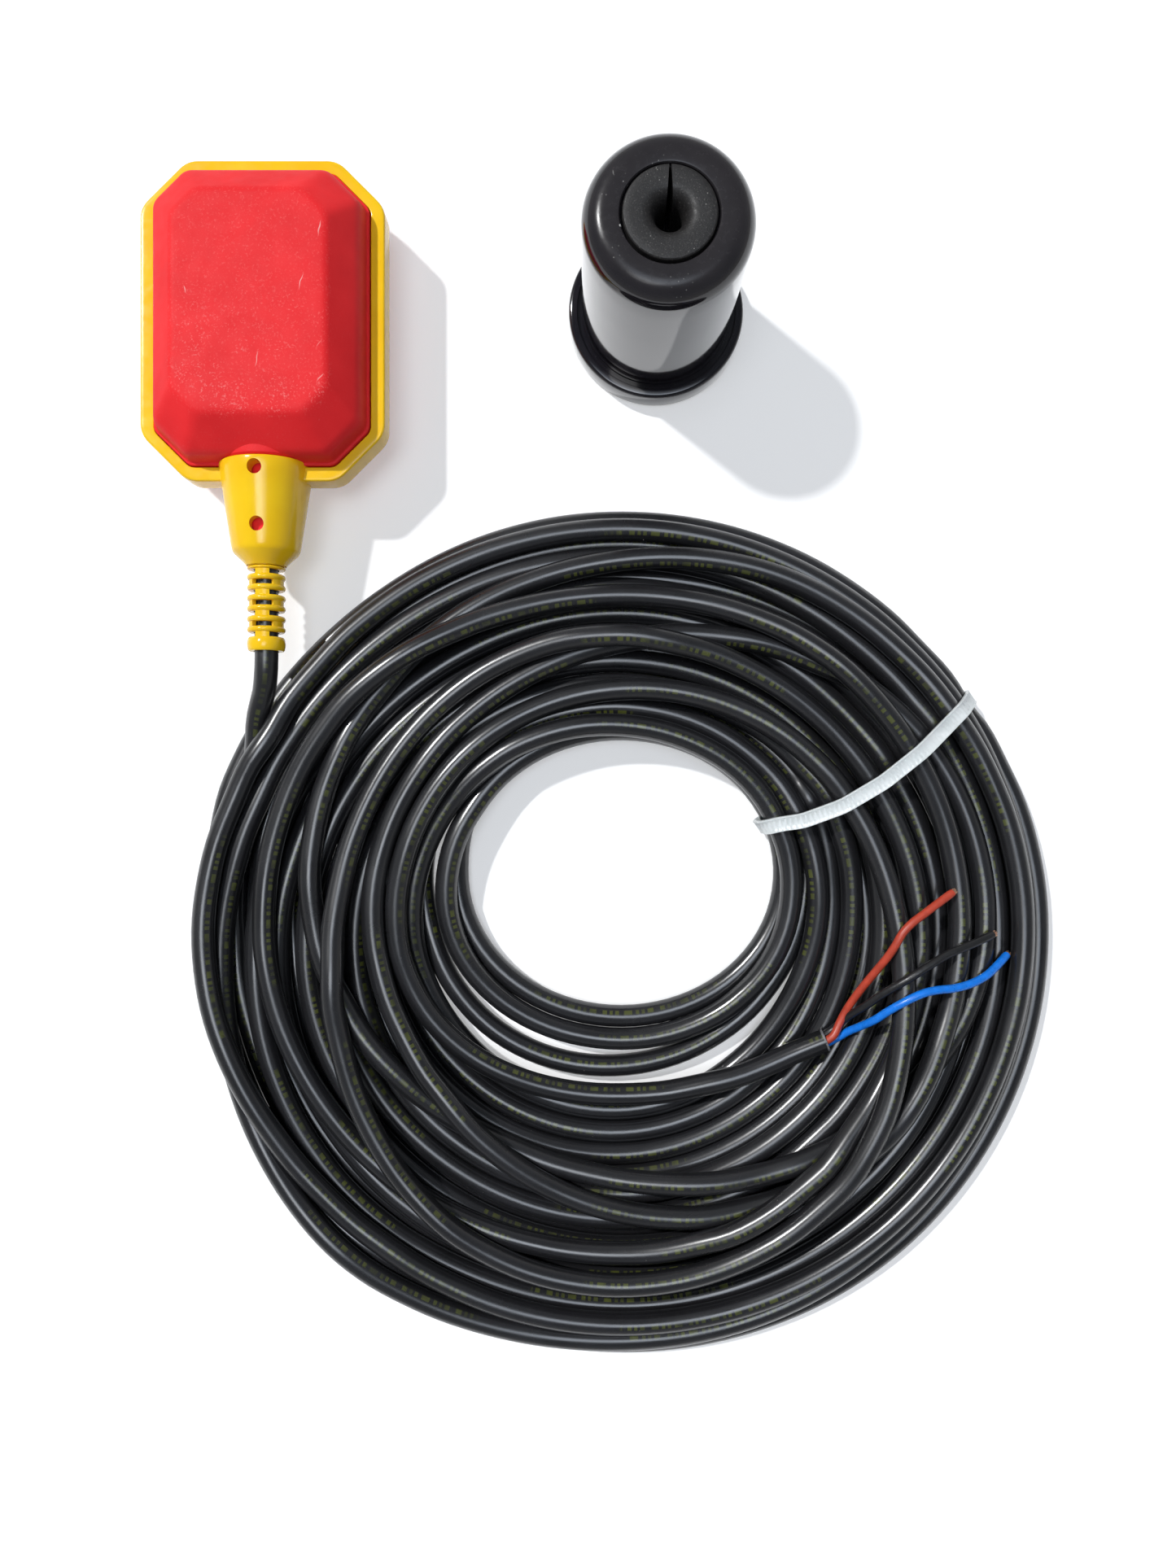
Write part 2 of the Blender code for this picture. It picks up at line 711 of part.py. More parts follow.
def neck_fittings(parent):
    """The clamp, the seal and the resin that fill the neck round the cable."""
    outer = NECK_BORE / 2 - FIT_GAP
    mouth = BODY_LENGTH / 2 - SHELL_WALL - FIT_GAP
    clamp_end = mouth + CLAMP_SLEEVE_LENGTH
    flange = CLAMP_FLANGE_DIAMETER / 2
    clamp = turned(
        [
            (CABLE_BORE_RADIUS, mouth - CLAMP_FLANGE_LENGTH),
            (flange, mouth - CLAMP_FLANGE_LENGTH),
            (flange, mouth),
            (outer, mouth),
            (outer, clamp_end),
            (CABLE_BORE_RADIUS, clamp_end),
        ],
        PLAIN_STEPS,
        closed=True,
        along_cable=True,
    )
    add_part("cable_clamp", clamp, CARRIER_WHITE, parent)
    start = clamp_end + FIT_GAP
    end = start + SEAL_LENGTH
    root = SEAL_ROOT_DIAMETER / 2
    middle = (start + end) / 2
    seal = turned(
        [
            (CABLE_BORE_RADIUS, start),
            (outer, start),
            (outer, start + SEAL_LIP),
            (root, start + SEAL_LIP),
            (root, middle - SEAL_LIP / 2),
            (outer, middle - SEAL_LIP / 2),
            (outer, middle + SEAL_LIP / 2),
            (root, middle + SEAL_LIP / 2),
            (root, end - SEAL_LIP),
            (outer, end - SEAL_LIP),
            (outer, end),
            (CABLE_BORE_RADIUS, end),
        ],
        PLAIN_STEPS,
        closed=True,
        along_cable=True,
    )
    add_part("cable_seal", seal, RUBBER, parent)
    resin_start = end + FIT_GAP
    sleeve("potting_resin", RESIN, parent, resin_start, NECK_REACH - resin_start, outer)


def ball_and_chamber(parent):
    """The tilt ball at the nose end of its cup."""
    depth = CHAMBER_END_PLACE + CHAMBER_WALL - CHAMBER_MOUTH_PLACE
    inner = CHAMBER_RADIUS - CHAMBER_WALL
    soft = CHAMBER_ROUND
    cup = turned(
        [
            (0.0, 0.0),
            (CHAMBER_RADIUS - soft, 0.0),
            (CHAMBER_RADIUS, soft),
            (CHAMBER_RADIUS, depth),
            (inner, depth),
            (inner, CHAMBER_WALL),
            (0.0, CHAMBER_WALL),
        ],
        FINE_STEPS,
        along_cable=True,
    )
    add_part(
        "ball_chamber", cup, CARRIER_WHITE, parent, (0, CHAMBER_END_PLACE + CHAMBER_WALL, 0)
    )
    bm = bmesh.new()
    bmesh.ops.create_uvsphere(
        bm, u_segments=PLAIN_STEPS, v_segments=PLAIN_STEPS // 2, radius=BALL_DIAMETER / 2
    )
    rest = CHAMBER_END_PLACE - BALL_DIAMETER / 2 - FIT_GAP
    ball_place = (0, rest, FIT_GAP - BALL_SIDE_PLAY)
    add_part("tilt_ball", mesh_from(bm), STEEL, parent, ball_place)


def lever(parent):
    """The flap that hangs from its pin between the ball and the plunger."""
    pin_place = (0, LEVER_PIN_PLACE, LEVER_PIN_HEIGHT)
    pin_end = LEVER_PIN_LENGTH / 2
    pin = rod(LEVER_PIN_DIAMETER / 2, (-pin_end, 0, 0), (pin_end, 0, 0), SMALL_STEPS)
    add_part("lever_pin", pin, STEEL, parent, pin_place)
    half_width = LEVER_WIDTH / 2
    barrel = LEVER_BARREL_DIAMETER / 2
    bore = LEVER_PIN_DIAMETER / 2 + LEVER_BORE_PLAY
    half = LEVER_THICKNESS / 2
    neck = LEVER_NECK_WIDTH / 2
    flap = add_part(
        "ball_lever",
        rod(barrel, (-half_width, 0, 0), (half_width, 0, 0), SMALL_STEPS),
        CARRIER_WHITE,
        parent,
        pin_place,
    )
    waist = -LEVER_DROP * 0.4
    join(
        flap,
        box((-half_width, -half, waist), (half_width, half, -bore)),
        box((-neck, -half, -LEVER_DROP), (neck, half, waist + half)),
    )
    cut(flap, rod(bore, (-half_width * 2, 0, 0), (half_width * 2, 0, 0), SMALL_STEPS))


def microswitch(parent):
    """The microswitch with its plunger, terminals and the pins that hold it."""
    half_thick = SWITCH_THICKNESS / 2
    half_high = SWITCH_HEIGHT / 2
    front = SWITCH_FRONT_PLACE
    back = SWITCH_BACK_PLACE
    body = add_part(
        "microswitch_body",
        box((-half_thick, back, -half_high), (half_thick, front, half_high)),
        SWITCH_BLACK,
        parent,
    )
    bevel(body, SWITCH_ROUND, 1)
    hole = PLUNGER_DIAMETER / 2 + FIT_GAP
    hole_end = front - PLUNGER_DEPTH - PLUNGER_TRAVEL_ROOM
    mouth = front + SWITCH_ROUND
    cut(body, rod(hole, (0, mouth, PLUNGER_HEIGHT), (0, hole_end, PLUNGER_HEIGHT), SMALL_STEPS))
    tip = LEVER_PIN_PLACE - LEVER_THICKNESS / 2 - FIT_GAP
    radius = PLUNGER_DIAMETER / 2
    soft = PLUNGER_TIP_ROUND
    length = tip - front + PLUNGER_DEPTH
    plunger = turned(
        [(0.0, 0.0), (radius - soft, 0.0), (radius, soft), (radius, length), (0.0, length)],
        SMALL_STEPS,
        along_cable=True,
    )
    add_part("microswitch_plunger", plunger, RED, parent, (0, tip, PLUNGER_HEIGHT))
    pin_radius = SWITCH_PIN_DIAMETER / 2
    pin_end = SWITCH_PIN_LENGTH / 2
    for name, sign in (("upper", 1), ("lower", -1)):
        place = (0, front - SWITCH_PIN_DEPTH, sign * SWITCH_PIN_SPACING / 2)
        pin = rod(pin_radius, (-pin_end, 0, 0), (pin_end, 0, 0), SMALL_STEPS)
        add_part("microswitch_pin_" + name, pin, STEEL, parent, place)
        hole_start = (-half_thick * 2, *place[1:])
        cut(body, rod(pin_radius + FIT_GAP, hole_start, (half_thick * 2, *place[1:]), SMALL_STEPS))
    start = back - FIT_GAP
    thick = TERMINAL_THICKNESS / 2
    wide = TERMINAL_WIDTH / 2
    for name, row in (("common", 1), ("open", 0), ("closed", -1)):
        blade = box((-thick, -TERMINAL_LENGTH, -wide), (thick, 0, wide))
        height = row * TERMINAL_SPACING
        add_part("microswitch_terminal_" + name, blade, BRASS, parent, (0, start, height))


def carrier(parent):
    """The carrier's two halves, hollowed for the chamber, the lever and the switch."""
    wide = CARRIER_HALF_WIDTH
    high = CARRIER_HALF_HEIGHT
    split = FIT_GAP / 2
    halves = (
        ("switch_frame", (-wide, CARRIER_TAIL, -high), (wide, CARRIER_NOSE, -split)),
        ("switch_cover", (-wide, CARRIER_TAIL, split), (wide, CARRIER_NOSE, high)),
    )
    chamber_hole = CHAMBER_RADIUS + FIT_GAP
    lever_side = LEVER_WIDTH / 2 + LEVER_SIDE_PLAY
    lever_low = LEVER_PIN_HEIGHT - LEVER_DROP - LEVER_SIDE_PLAY * 2
    switch_side = SWITCH_THICKNESS / 2 + FIT_GAP
    switch_high = SWITCH_HEIGHT / 2 + FIT_GAP
    front = SWITCH_FRONT_PLACE
    back = SWITCH_BACK_PLACE - FIT_GAP
    overlap = SWITCH_ROUND
    chamber_front = CHAMBER_MOUTH_PLACE - FIT_GAP
    pin_end = LEVER_PIN_LENGTH / 2 + FIT_GAP
    switch_pin_end = SWITCH_PIN_LENGTH / 2 + FIT_GAP
    window = CARRIER_WINDOW_WIDTH / 2
    exit_high = TERMINAL_SPACING + TERMINAL_WIDTH / 2 + FIT_GAP
    for name, low, high_corner in halves:
        half = add_part(name, box(low, high_corner), CARRIER_WHITE, parent)
        bevel(half, CARRIER_ROUND, 1)
        nose = CHAMBER_END_PLACE + CHAMBER_WALL + FIT_GAP
        cut(half, rod(chamber_hole, (0, nose, 0), (0, chamber_front, 0), FINE_STEPS))
        pocket_low = (-lever_side, front, lever_low)
        cut(half, box(pocket_low, (lever_side, chamber_front + overlap, LEVER_TOP + FIT_GAP)))
        cut(half, box((-switch_side, back, -switch_high), (switch_side, front + overlap, switch_high)))
        exit_low = (-window, CARRIER_TAIL - CARRIER_WALL, -exit_high)
        cut(half, box(exit_low, (window, back + overlap, exit_high)))
        if name == "switch_cover":
            bore = LEVER_PIN_DIAMETER / 2 + FIT_GAP
            place = (LEVER_PIN_PLACE, LEVER_PIN_HEIGHT)
            cut(half, rod(bore, (-pin_end, *place), (pin_end, *place), SMALL_STEPS))
        sign = 1 if name == "switch_cover" else -1
        place = (front - SWITCH_PIN_DEPTH, sign * SWITCH_PIN_SPACING / 2)
        bore = SWITCH_PIN_DIAMETER / 2 + FIT_GAP
        cut(half, rod(bore, (-switch_pin_end, *place), (switch_pin_end, *place), SMALL_STEPS))
        for side in (-1, 1):
            x = side * SCREW_SIDE_PLACE
            top = CARRIER_HALF_HEIGHT
            bottom = top - SCREW_HEAD_HEIGHT - SCREW_LENGTH - FIT_GAP
            hole = SCREW_DIAMETER / 2 + FIT_GAP
            cut(half, rod(hole, (x, SCREW_PLACE, bottom), (x, SCREW_PLACE, top), SMALL_STEPS))
            if name == "switch_cover":
                head = SCREW_HEAD_DIAMETER / 2 + FIT_GAP
                seat = top - SCREW_HEAD_HEIGHT - FIT_GAP
                end = top + SCREW_HEAD_HEIGHT
                cut(half, rod(head, (x, SCREW_PLACE, seat), (x, SCREW_PLACE, end), SMALL_STEPS))


def carrier_screws(parent):
    """The two screws that hold the carrier's halves together."""
    top = CARRIER_HALF_HEIGHT
    head = SCREW_HEAD_DIAMETER / 2
    shank = SCREW_DIAMETER / 2
    under_head = -SCREW_HEAD_HEIGHT
    end = under_head - SCREW_LENGTH
    profile = [
        (0.0, 0.0),
        (head, 0.0),
        (head, under_head),
        (shank, under_head),
        (shank, end + shank),
        (0.0, end),
    ]
    for name, side in (("left", -1), ("right", 1)):
        place = (side * SCREW_SIDE_PLACE, SCREW_PLACE, top)
        add_part("carrier_screw_" + name, turned(profile, SMALL_STEPS), STEEL, parent, place)


def smooth_route(points, spacing):
    """Points along a smooth curve through a route's points, about a spacing apart."""
    route = [Vector(point) for point in points]
    ends = [2 * route[0] - route[1], *route, 2 * route[-1] - route[-2]]
    result = []
    for before, start, end, after in zip(ends, ends[1:], ends[2:], ends[3:]):
        steps = max(1, round((end - start).length / spacing))
        for i in range(steps):
            t = i / steps
            result.append(
                0.5
                * (
                    2 * start
                    + (end - before) * t
                    + (2 * before - 5 * start + 4 * end - after) * t**2
                    + (3 * start - before - 3 * end + after) * t**3
                )
            )
    result.append(route[-1])
    return result


def tube(name, points, radius, material, spacing, sides=2):
    """A round cord along a smooth route, as a curve with filled ends."""
    curve = bpy.data.curves.new(name, "CURVE")
    curve.dimensions = "3D"
    curve.bevel_depth = radius
    curve.bevel_resolution = sides
    curve.use_fill_caps = True
    spline = curve.splines.new("POLY")
    path = smooth_route(points, spacing)
    spline.points.add(len(path) - 1)
    for target, point in zip(spline.points, path):
        target.co = (*point, 1.0)
    curve.materials.append(material)
    cord = bpy.data.objects.new(name, curve)
    PARTS.objects.link(cord)
    return cord


def core_ends(direction, centre):
    """Where the three cores leave a cut jacket, round its middle."""
    along = Vector(direction).normalized()
    side = along.cross(Vector((0, 0, 1))).normalized()
    up = side.cross(along)
    ends = {}
    for name, angle in (("brown", 90.0), ("black", 210.0), ("blue", 330.0)):
        turn = math.radians(angle)
        offset = side * math.cos(turn) + up * math.sin(turn)
        ends[name] = Vector(centre) + offset * CORE_CIRCLE_RADIUS
    return ends


def inner_cores():
    """The cores between the switch's terminals and the cable's jacket."""
    jacket = (0, -JACKET_END_PLACE + FIT_GAP, MID_HEIGHT)
    ends = core_ends((0, -1, 0), jacket)
    start = SWITCH_BACK_PLACE - TERMINAL_LENGTH - 2 * FIT_GAP
    straight = CORE_DIAMETER
    for name, row in (("brown", 1), ("black", 0), ("blue", -1)):
        height = MID_HEIGHT + row * TERMINAL_SPACING
        end = ends[name]
        route = (
            (0, start, height),
            (0, start - straight, height),
            (end.x, end.y + 2 * straight, end.z),
            tuple(end),
        )
        material = CORE_MATERIALS[name]
        tube("inner_core_" + name, route, CORE_DIAMETER / 2, material, CORE_DIAMETER)


def lead():
    """The cable from inside the neck, through the strain relief, to the coil."""
    inside = [
        (0.0, -JACKET_END_PLACE, MID_HEIGHT),
        (0.0, -NECK_REACH, MID_HEIGHT),
    ]
    outside = [(x, y - RELIEF_END, z + MID_HEIGHT) for x, y, z in LEAD_ROUTE]
    tube("cable_lead", inside + outside, CABLE_RADIUS, BLACK_PVC, CABLE_DIAMETER)


def section_loop(inner, outer, low, high, power, count):
    """A rounded oblong in the (radius, height) plane, as a superellipse."""
    middle_r = (inner + outer) / 2
    middle_h = (low + high) / 2
    half_r = (outer - inner) / 2
    half_h = (high - low) / 2
    points = []
    for i in range(count):
        angle = 2 * math.pi * i / count
        c = math.cos(angle)
        s = math.sin(angle)
        r = middle_r + half_r * math.copysign(abs(c) ** (2 / power), c)
        h = middle_h + half_h * math.copysign(abs(s) ** (2 / power), s)
        points.append((r, h))
    return points


def band(inner_loop, outer_loop, width):
    """A closed band of one width between two loops, with its middle plane at y = 0."""
    bm = bmesh.new()
    rings = []
    for loop, y in (
        (inner_loop, -width / 2),
        (outer_loop, -width / 2),
        (outer_loop, width / 2),
        (inner_loop, width / 2),
    ):
        rings.append([bm.verts.new((r, y, h)) for r, h in loop])
    count = len(inner_loop)
    for k in range(len(rings)):
        ring = rings[k]
        following = rings[(k + 1) % len(rings)]
        for i in range(count):
            j = (i + 1) % count
            bm.faces.new((ring[i], ring[j], following[j], following[i]))
    return mesh_from(bm)


def tie_loop(allowance, count=LOOP_POINTS):
    """The loop that the tie's strap follows, set out from its inner face."""
    low = 2 * FIT_GAP + TIE_STRAP_THICKNESS - allowance
    high = COIL_HEIGHT - FIT_GAP + allowance
    inner = TIE_INNER_RADIUS - allowance
    outer = TIE_OUTER_RADIUS + allowance
    return section_loop(inner, outer, low, high, TIE_LOOP_POWER, count)


def coil_and_tie():
    """The coil's ring, pinched where the tie goes round it, and the tie."""
    centre = anchor("coil_centre", (*COIL_CENTRE, 0.0))
    profile = section_loop(
        COIL_INNER_RADIUS, COIL_OUTER_RADIUS, 0.0, COIL_HEIGHT, COIL_SECTION_POWER, LOOP_POINTS
    )
    ring = add_part(
        "cable_coil", turned(list(reversed(profile)), COIL_STEPS, closed=True), BLACK_PVC, centre
    )
    turn = Matrix.Rotation(TIE_ANGLE, 4, "Z")
    clear = FIT_GAP
    groove = band(tie_loop(-clear), tie_loop(COIL_HEIGHT), TIE_STRAP_WIDTH + 2 * clear)
    groove.transform(turn)
    cut(ring, groove)
    head_low = (
        TIE_HEAD_PLACE - TIE_HEAD_LENGTH / 2,
        -TIE_HEAD_WIDTH / 2,
        FIT_GAP,
    )
    head_high = (
        TIE_HEAD_PLACE + TIE_HEAD_LENGTH / 2,
        TIE_HEAD_WIDTH / 2,
        FIT_GAP + TIE_HEAD_HEIGHT,
    )
    pocket_low = [value - clear for value in head_low[:2]] + [-COIL_HEIGHT]
    pocket = box(pocket_low, [value + clear for value in head_high])
    pocket.transform(turn)
    cut(ring, pocket)
    strap = band(tie_loop(0.0), tie_loop(TIE_STRAP_THICKNESS), TIE_STRAP_WIDTH)
    strap.transform(turn)
    tie = add_part("cable_tie", strap, NYLON, centre)
    head = box(head_low, head_high)
    head.transform(turn)
    join(tie, head)


def tail():
    """The cable's free end on the coil, and the cores that stand out of it."""
    centre = Vector((*COIL_CENTRE, COIL_HEIGHT))
    jacket = [centre + Vector(point) for point in TAIL_ROUTE]
    tube("cable_tail", jacket, CABLE_RADIUS, BLACK_PVC, CABLE_DIAMETER * 2)
    end = jacket[-1]
    along = (end - jacket[-2]).normalized()
    starts = core_ends(along, end + along * FIT_GAP)
    for name, route in CORE_ROUTES.items():
        start = starts[name]
        points = [start, start + along * CORE_DIAMETER]
        points += [centre + Vector(point) for point in route]
        tube("tail_core_" + name, points, CORE_DIAMETER / 2, CORE_MATERIALS[name], CORE_DIAMETER * 1.5)


def weight_shell(parent):
    """The counterweight's round-shouldered cup with the socket for the bush."""
    outer = WEIGHT_DIAMETER / 2
    wall = WEIGHT_WALL
    top = WEIGHT_HEIGHT
    shoulder = WEIGHT_TOP_ROUND
    bottom = WEIGHT_BASE_HEIGHT + FIT_GAP
    seat = BUSH_DIAMETER / 2 + FIT_GAP
    socket = seat + SOCKET_WALL
    bush_top = top - BUSH_RECESS
    floor = bush_top - BUSH_LENGTH - FIT_GAP
    under = top - WEIGHT_TOP_WALL
    inner_round = shoulder - wall
    profile = [
        (seat, floor),
        (seat, top - FIT_GAP),
        (seat + FIT_GAP, top),
        *arc((outer - shoulder, top - shoulder), shoulder, 90, 0, FINE_ARC_STEPS),
        (outer, bottom),
        (outer - wall, bottom),
        *arc((outer - wall - inner_round, under - inner_round), inner_round, 0, 90),
        (socket, under),
        (socket, floor - SOCKET_WALL),
        (seat - SOCKET_LIP, floor - SOCKET_WALL),
        (seat - SOCKET_LIP, floor),
    ]
    add_part("weight_shell", turned(profile, FINE_STEPS, closed=True), BLACK_GLOSS, parent)


def weight_base(parent):
    """The flange that the counterweight stands on, with the plug inside the shell."""
    outer = WEIGHT_BASE_DIAMETER / 2
    soft = WEIGHT_BASE_ROUND
    top = WEIGHT_BASE_HEIGHT
    plug = WEIGHT_DIAMETER / 2 - WEIGHT_WALL - FIT_GAP
    bore = WEIGHT_BASE_BORE / 2
    groove_in = WEIGHT_DIAMETER / 2 + FIT_GAP
    groove_out = groove_in + WEIGHT_GROOVE_WIDTH
    groove_floor = top - WEIGHT_GROOVE_DEPTH
    profile = [
        (bore, top + WEIGHT_PLUG_HEIGHT),
        (plug - soft, top + WEIGHT_PLUG_HEIGHT),
        (plug, top + WEIGHT_PLUG_HEIGHT - soft),
        (plug, top),
        (groove_in, top),
        (groove_in, groove_floor),
        (groove_out, groove_floor),
        (groove_out, top),
        (outer - soft, top),
        (outer, top - soft),
        (outer, soft),
        (outer - soft, 0.0),
        (bore, 0.0),
    ]
    add_part("weight_base", turned(profile, FINE_STEPS, closed=True), BLACK_GLOSS, parent)


def weight_bush(parent):
    """The slit rubber bush with the funnel that guides the cable."""
    top = WEIGHT_HEIGHT - BUSH_RECESS
    bottom = top - BUSH_LENGTH
    outer = BUSH_DIAMETER / 2
    hole = BUSH_HOLE_DIAMETER / 2
    funnel = BUSH_FUNNEL_DIAMETER / 2
    flare = []
    for i in range(ARC_STEPS + 1):
        turn = math.radians(90.0) * i / ARC_STEPS
        r = hole + (funnel - hole) * (1 - math.cos(turn))
        flare.append((r, top - BUSH_FUNNEL_DEPTH * (1 - math.sin(turn))))
    profile = [(outer, top), (outer, bottom), (hole, bottom), *flare]
    bush = add_part("weight_bush", turned(profile, FINE_STEPS, closed=True), RUBBER, parent)
    slit = loft(
        [
            wedge_ring(BUSH_SLIT_INNER, BUSH_SLIT_OUTER, outer + BUSH_RECESS, bottom - BUSH_RECESS),
            wedge_ring(BUSH_SLIT_INNER, BUSH_SLIT_OUTER, outer + BUSH_RECESS, top + BUSH_RECESS),
        ]
    )
    cut(bush, slit)


def wedge_ring(inner_width, outer_width, reach, height):
    """The outline of a slit that narrows from the middle towards +Y."""
    return [
        (inner_width / 2, 0.0, height),
        (outer_width / 2, reach, height),
        (-outer_width / 2, reach, height),
        (-inner_width / 2, 0.0, height),
    ]


def weight_slug(parent):
    """The iron ring between the base's plug and the shell."""
    bottom = WEIGHT_BASE_HEIGHT + WEIGHT_PLUG_HEIGHT + FIT_GAP
    outer = WEIGHT_DIAMETER / 2 - WEIGHT_WALL - FIT_GAP
    inner = BUSH_DIAMETER / 2 + SOCKET_WALL + 2 * FIT_GAP
    profile = [
        (inner, bottom + SLUG_HEIGHT),
        (outer, bottom + SLUG_HEIGHT),
        (outer, bottom),
        (inner, bottom),
    ]
    add_part("weight_slug", turned(profile, FINE_STEPS, closed=True), IRON, parent)


def counterweight():
    """The counterweight, standing on its flange beside the float."""
    place = anchor("counterweight", (WEIGHT_SIDE_PLACE, WEIGHT_NOSE_PLACE, 0.0))
    weight_shell(place)
    weight_base(place)
    weight_bush(place)
    weight_slug(place)


def float_switch():
    """The float, from its shells to the switch inside."""
    middle = anchor("float_middle", (0.0, 0.0, MID_HEIGHT))
    lower = anchor("float_lower_half", (0.0, 0.0, 0.0), math.pi, middle)
    half_shell("float_shell_top", middle)
    half_shell("float_shell_bottom", lower)
    frame_and_gland(middle)
    strain_relief(middle)
    neck_fittings(middle)
    ball_and_chamber(middle)
    lever(middle)
    microswitch(middle)
    carrier(middle)
    carrier_screws(middle)


float_switch()
inner_cores()
lead()
coil_and_tie()
tail()
counterweight()
bpy.context.view_layer.update()
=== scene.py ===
"""Looks of a cable float switch: red and yellow float, cable coil and counterweight.

Every surface is worked out on a grid or carried along a path, in metres, in the
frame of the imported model: the float lies nose towards +Y, its underside at z = 0.
"""

import math
from functools import cached_property

import bpy
import numpy as np
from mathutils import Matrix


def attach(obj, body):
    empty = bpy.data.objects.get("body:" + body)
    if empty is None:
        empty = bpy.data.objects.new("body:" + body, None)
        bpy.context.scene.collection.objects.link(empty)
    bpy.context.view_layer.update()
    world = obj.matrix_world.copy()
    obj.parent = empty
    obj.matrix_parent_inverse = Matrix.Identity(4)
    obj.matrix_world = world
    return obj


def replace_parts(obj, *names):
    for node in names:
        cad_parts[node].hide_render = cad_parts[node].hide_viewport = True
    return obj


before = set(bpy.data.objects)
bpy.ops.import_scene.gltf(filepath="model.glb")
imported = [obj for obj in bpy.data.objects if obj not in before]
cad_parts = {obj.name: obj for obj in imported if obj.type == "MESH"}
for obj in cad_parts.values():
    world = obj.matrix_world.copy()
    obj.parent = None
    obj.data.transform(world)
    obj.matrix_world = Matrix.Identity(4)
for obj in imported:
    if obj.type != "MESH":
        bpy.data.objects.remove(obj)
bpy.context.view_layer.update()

# Sizes repeated from the part's source
FIT_GAP = 0.0003
MID_HEIGHT = 0.0215
BODY = (0.0347, 0.047, 0.0114)
FACET = (0.0238, 0.0341, 0.0075)
FRAME = (0.0395, 0.05175, 0.0152)
FRAME_HALF = 0.005
SHOULDER_HEIGHT = 0.0125
SHOULDER_INSET = 0.0020
LEDGE_HEIGHT = 0.0060
LEDGE_WIDTH = 0.0009
SHELL_WALL = 0.0025
FLANGE_REACH = 0.0024
FLANGE_HEIGHT = 0.0022
NECK_RADIUS = 0.0087
NECK_BORE_RADIUS = 0.0062
NECK_REACH = 0.072
GLAND_RIM = 0.0456
GLAND_CONE_END = 0.0735
GLAND_END = 0.0784
RELIEF_END = 0.1061
CABLE_DIAMETER = 0.0076
CABLE_RADIUS = CABLE_DIAMETER / 2
CORE_RADIUS = 0.00135
COIL_CENTRE = np.array((0.118, -0.1996))
TIE_ANGLE = math.radians(35.0)
TIE_WIDTH = 0.0050
TIE_THICKNESS = 0.0012
TIE_HEAD_PLACE = 0.078
WEIGHT_CENTRE = (0.128, 0.0105)

# Sizes of the scene's own shapes and stage
TIE_SPOKE = np.array((math.cos(TIE_ANGLE), math.sin(TIE_ANGLE)))
TIE_SQUARE = np.array((-TIE_SPOKE[1], TIE_SPOKE[0]))
TIE_HEAD_HALF = (0.0039, 0.0036, 0.0024)
TIE_HEAD_HEIGHT = 0.0027
TIE_HEAD_SOFTNESS = 0.12
RIB_PITCH = 0.0016
TIE_STEP = 0.0004
STRAND_RADIUS = 0.0002
STRAND_STEP = 0.00042
NECK_START = 0.0448
BORE_START = 0.040
BORE_END = 0.0724
SEAT_START = 0.0720
SEAT_END = 0.0800
SEAT_RADIUS = 0.0063
RELIEF_SLOT = 0.0016
RELIEF_RIB = 0.0018
RELIEF_BORE = 0.0041
RIB_RADIUS = 0.0061
BAR_RADIUS = 0.0055
GLAND_RADIUS = 0.0150
GLAND_TAPER = 0.004
GLAND_HOLE_RADIUS = 0.0023
GLAND_HOLE_STEPS = (0.0038, 0.0212)
DRUM_RADIUS = 0.0250
DRUM_HEIGHT = 0.076
DRUM_ROUNDING = 0.0068
CAMERA_LENS = 26.6
CAMERA_PLACE = (0.105, -0.1494, 0.400)
FLOOR_REACH = 3.0
FLOOR_HEIGHT = -0.0001
FLOOR_LIFT = 0.36


# Camera straight above the middle of the photograph's view


def set_camera():
    """A camera that looks straight down with the photograph's angle of view."""
    lens = bpy.data.cameras.new("camera")
    lens.sensor_width = 36.0
    lens.lens = CAMERA_LENS
    lens.clip_start = 0.01
    camera = bpy.data.objects.new("camera", lens)
    camera.location = CAMERA_PLACE
    bpy.context.scene.collection.objects.link(camera)
    bpy.context.scene.camera = camera


set_camera()
bpy.context.scene.view_settings.view_transform = "Standard"


# Grids of points into meshes


def skin(points, around=True, along=False, caps=(True, True)):
    """Faces between neighbouring points of a (rows, columns, 3) grid.

    Around joins the last column to the first, along joins the last row to the first,
    and caps close the first and last rows with one flat face each.
    """
    rows, columns = points.shape[:2]
    index = np.arange(rows * columns).reshape(rows, columns)
    if around:
        index = np.concatenate([index, index[:, :1]], axis=1)
    if along:
        index = np.concatenate([index, index[:1]], axis=0)
    quads = np.stack(
        [index[:-1, :-1], index[:-1, 1:], index[1:, 1:], index[1:, :-1]], axis=-1
    ).reshape(-1, 4)
    polygons = []
    if not along and caps[0]:
        polygons.append(index[0, :columns][::-1].tolist())
    if not along and caps[1]:
        polygons.append(index[-1, :columns].tolist())
    return points.reshape(-1, 3), quads, polygons


def mesh_of(name, skins, marks=None):
    """One mesh of several skins, with an optional vector attribute for each point."""
    points = np.concatenate([item[0] for item in skins])
    faces = []
    start = 0
    for corners, quads, polygons in skins:
        faces += (quads + start).tolist()
        faces += [[corner + start for corner in polygon] for polygon in polygons]
        start += len(corners)
    mesh = bpy.data.meshes.new(name)
    mesh.from_pydata(points.tolist(), [], faces)
    if marks is not None:
        layer = mesh.attributes.new("along", "FLOAT_VECTOR", "POINT")
        layer.data.foreach_set("vector", np.concatenate(marks).astype(np.float32).ravel())
    mesh.validate()
    mesh.update()
    return mesh


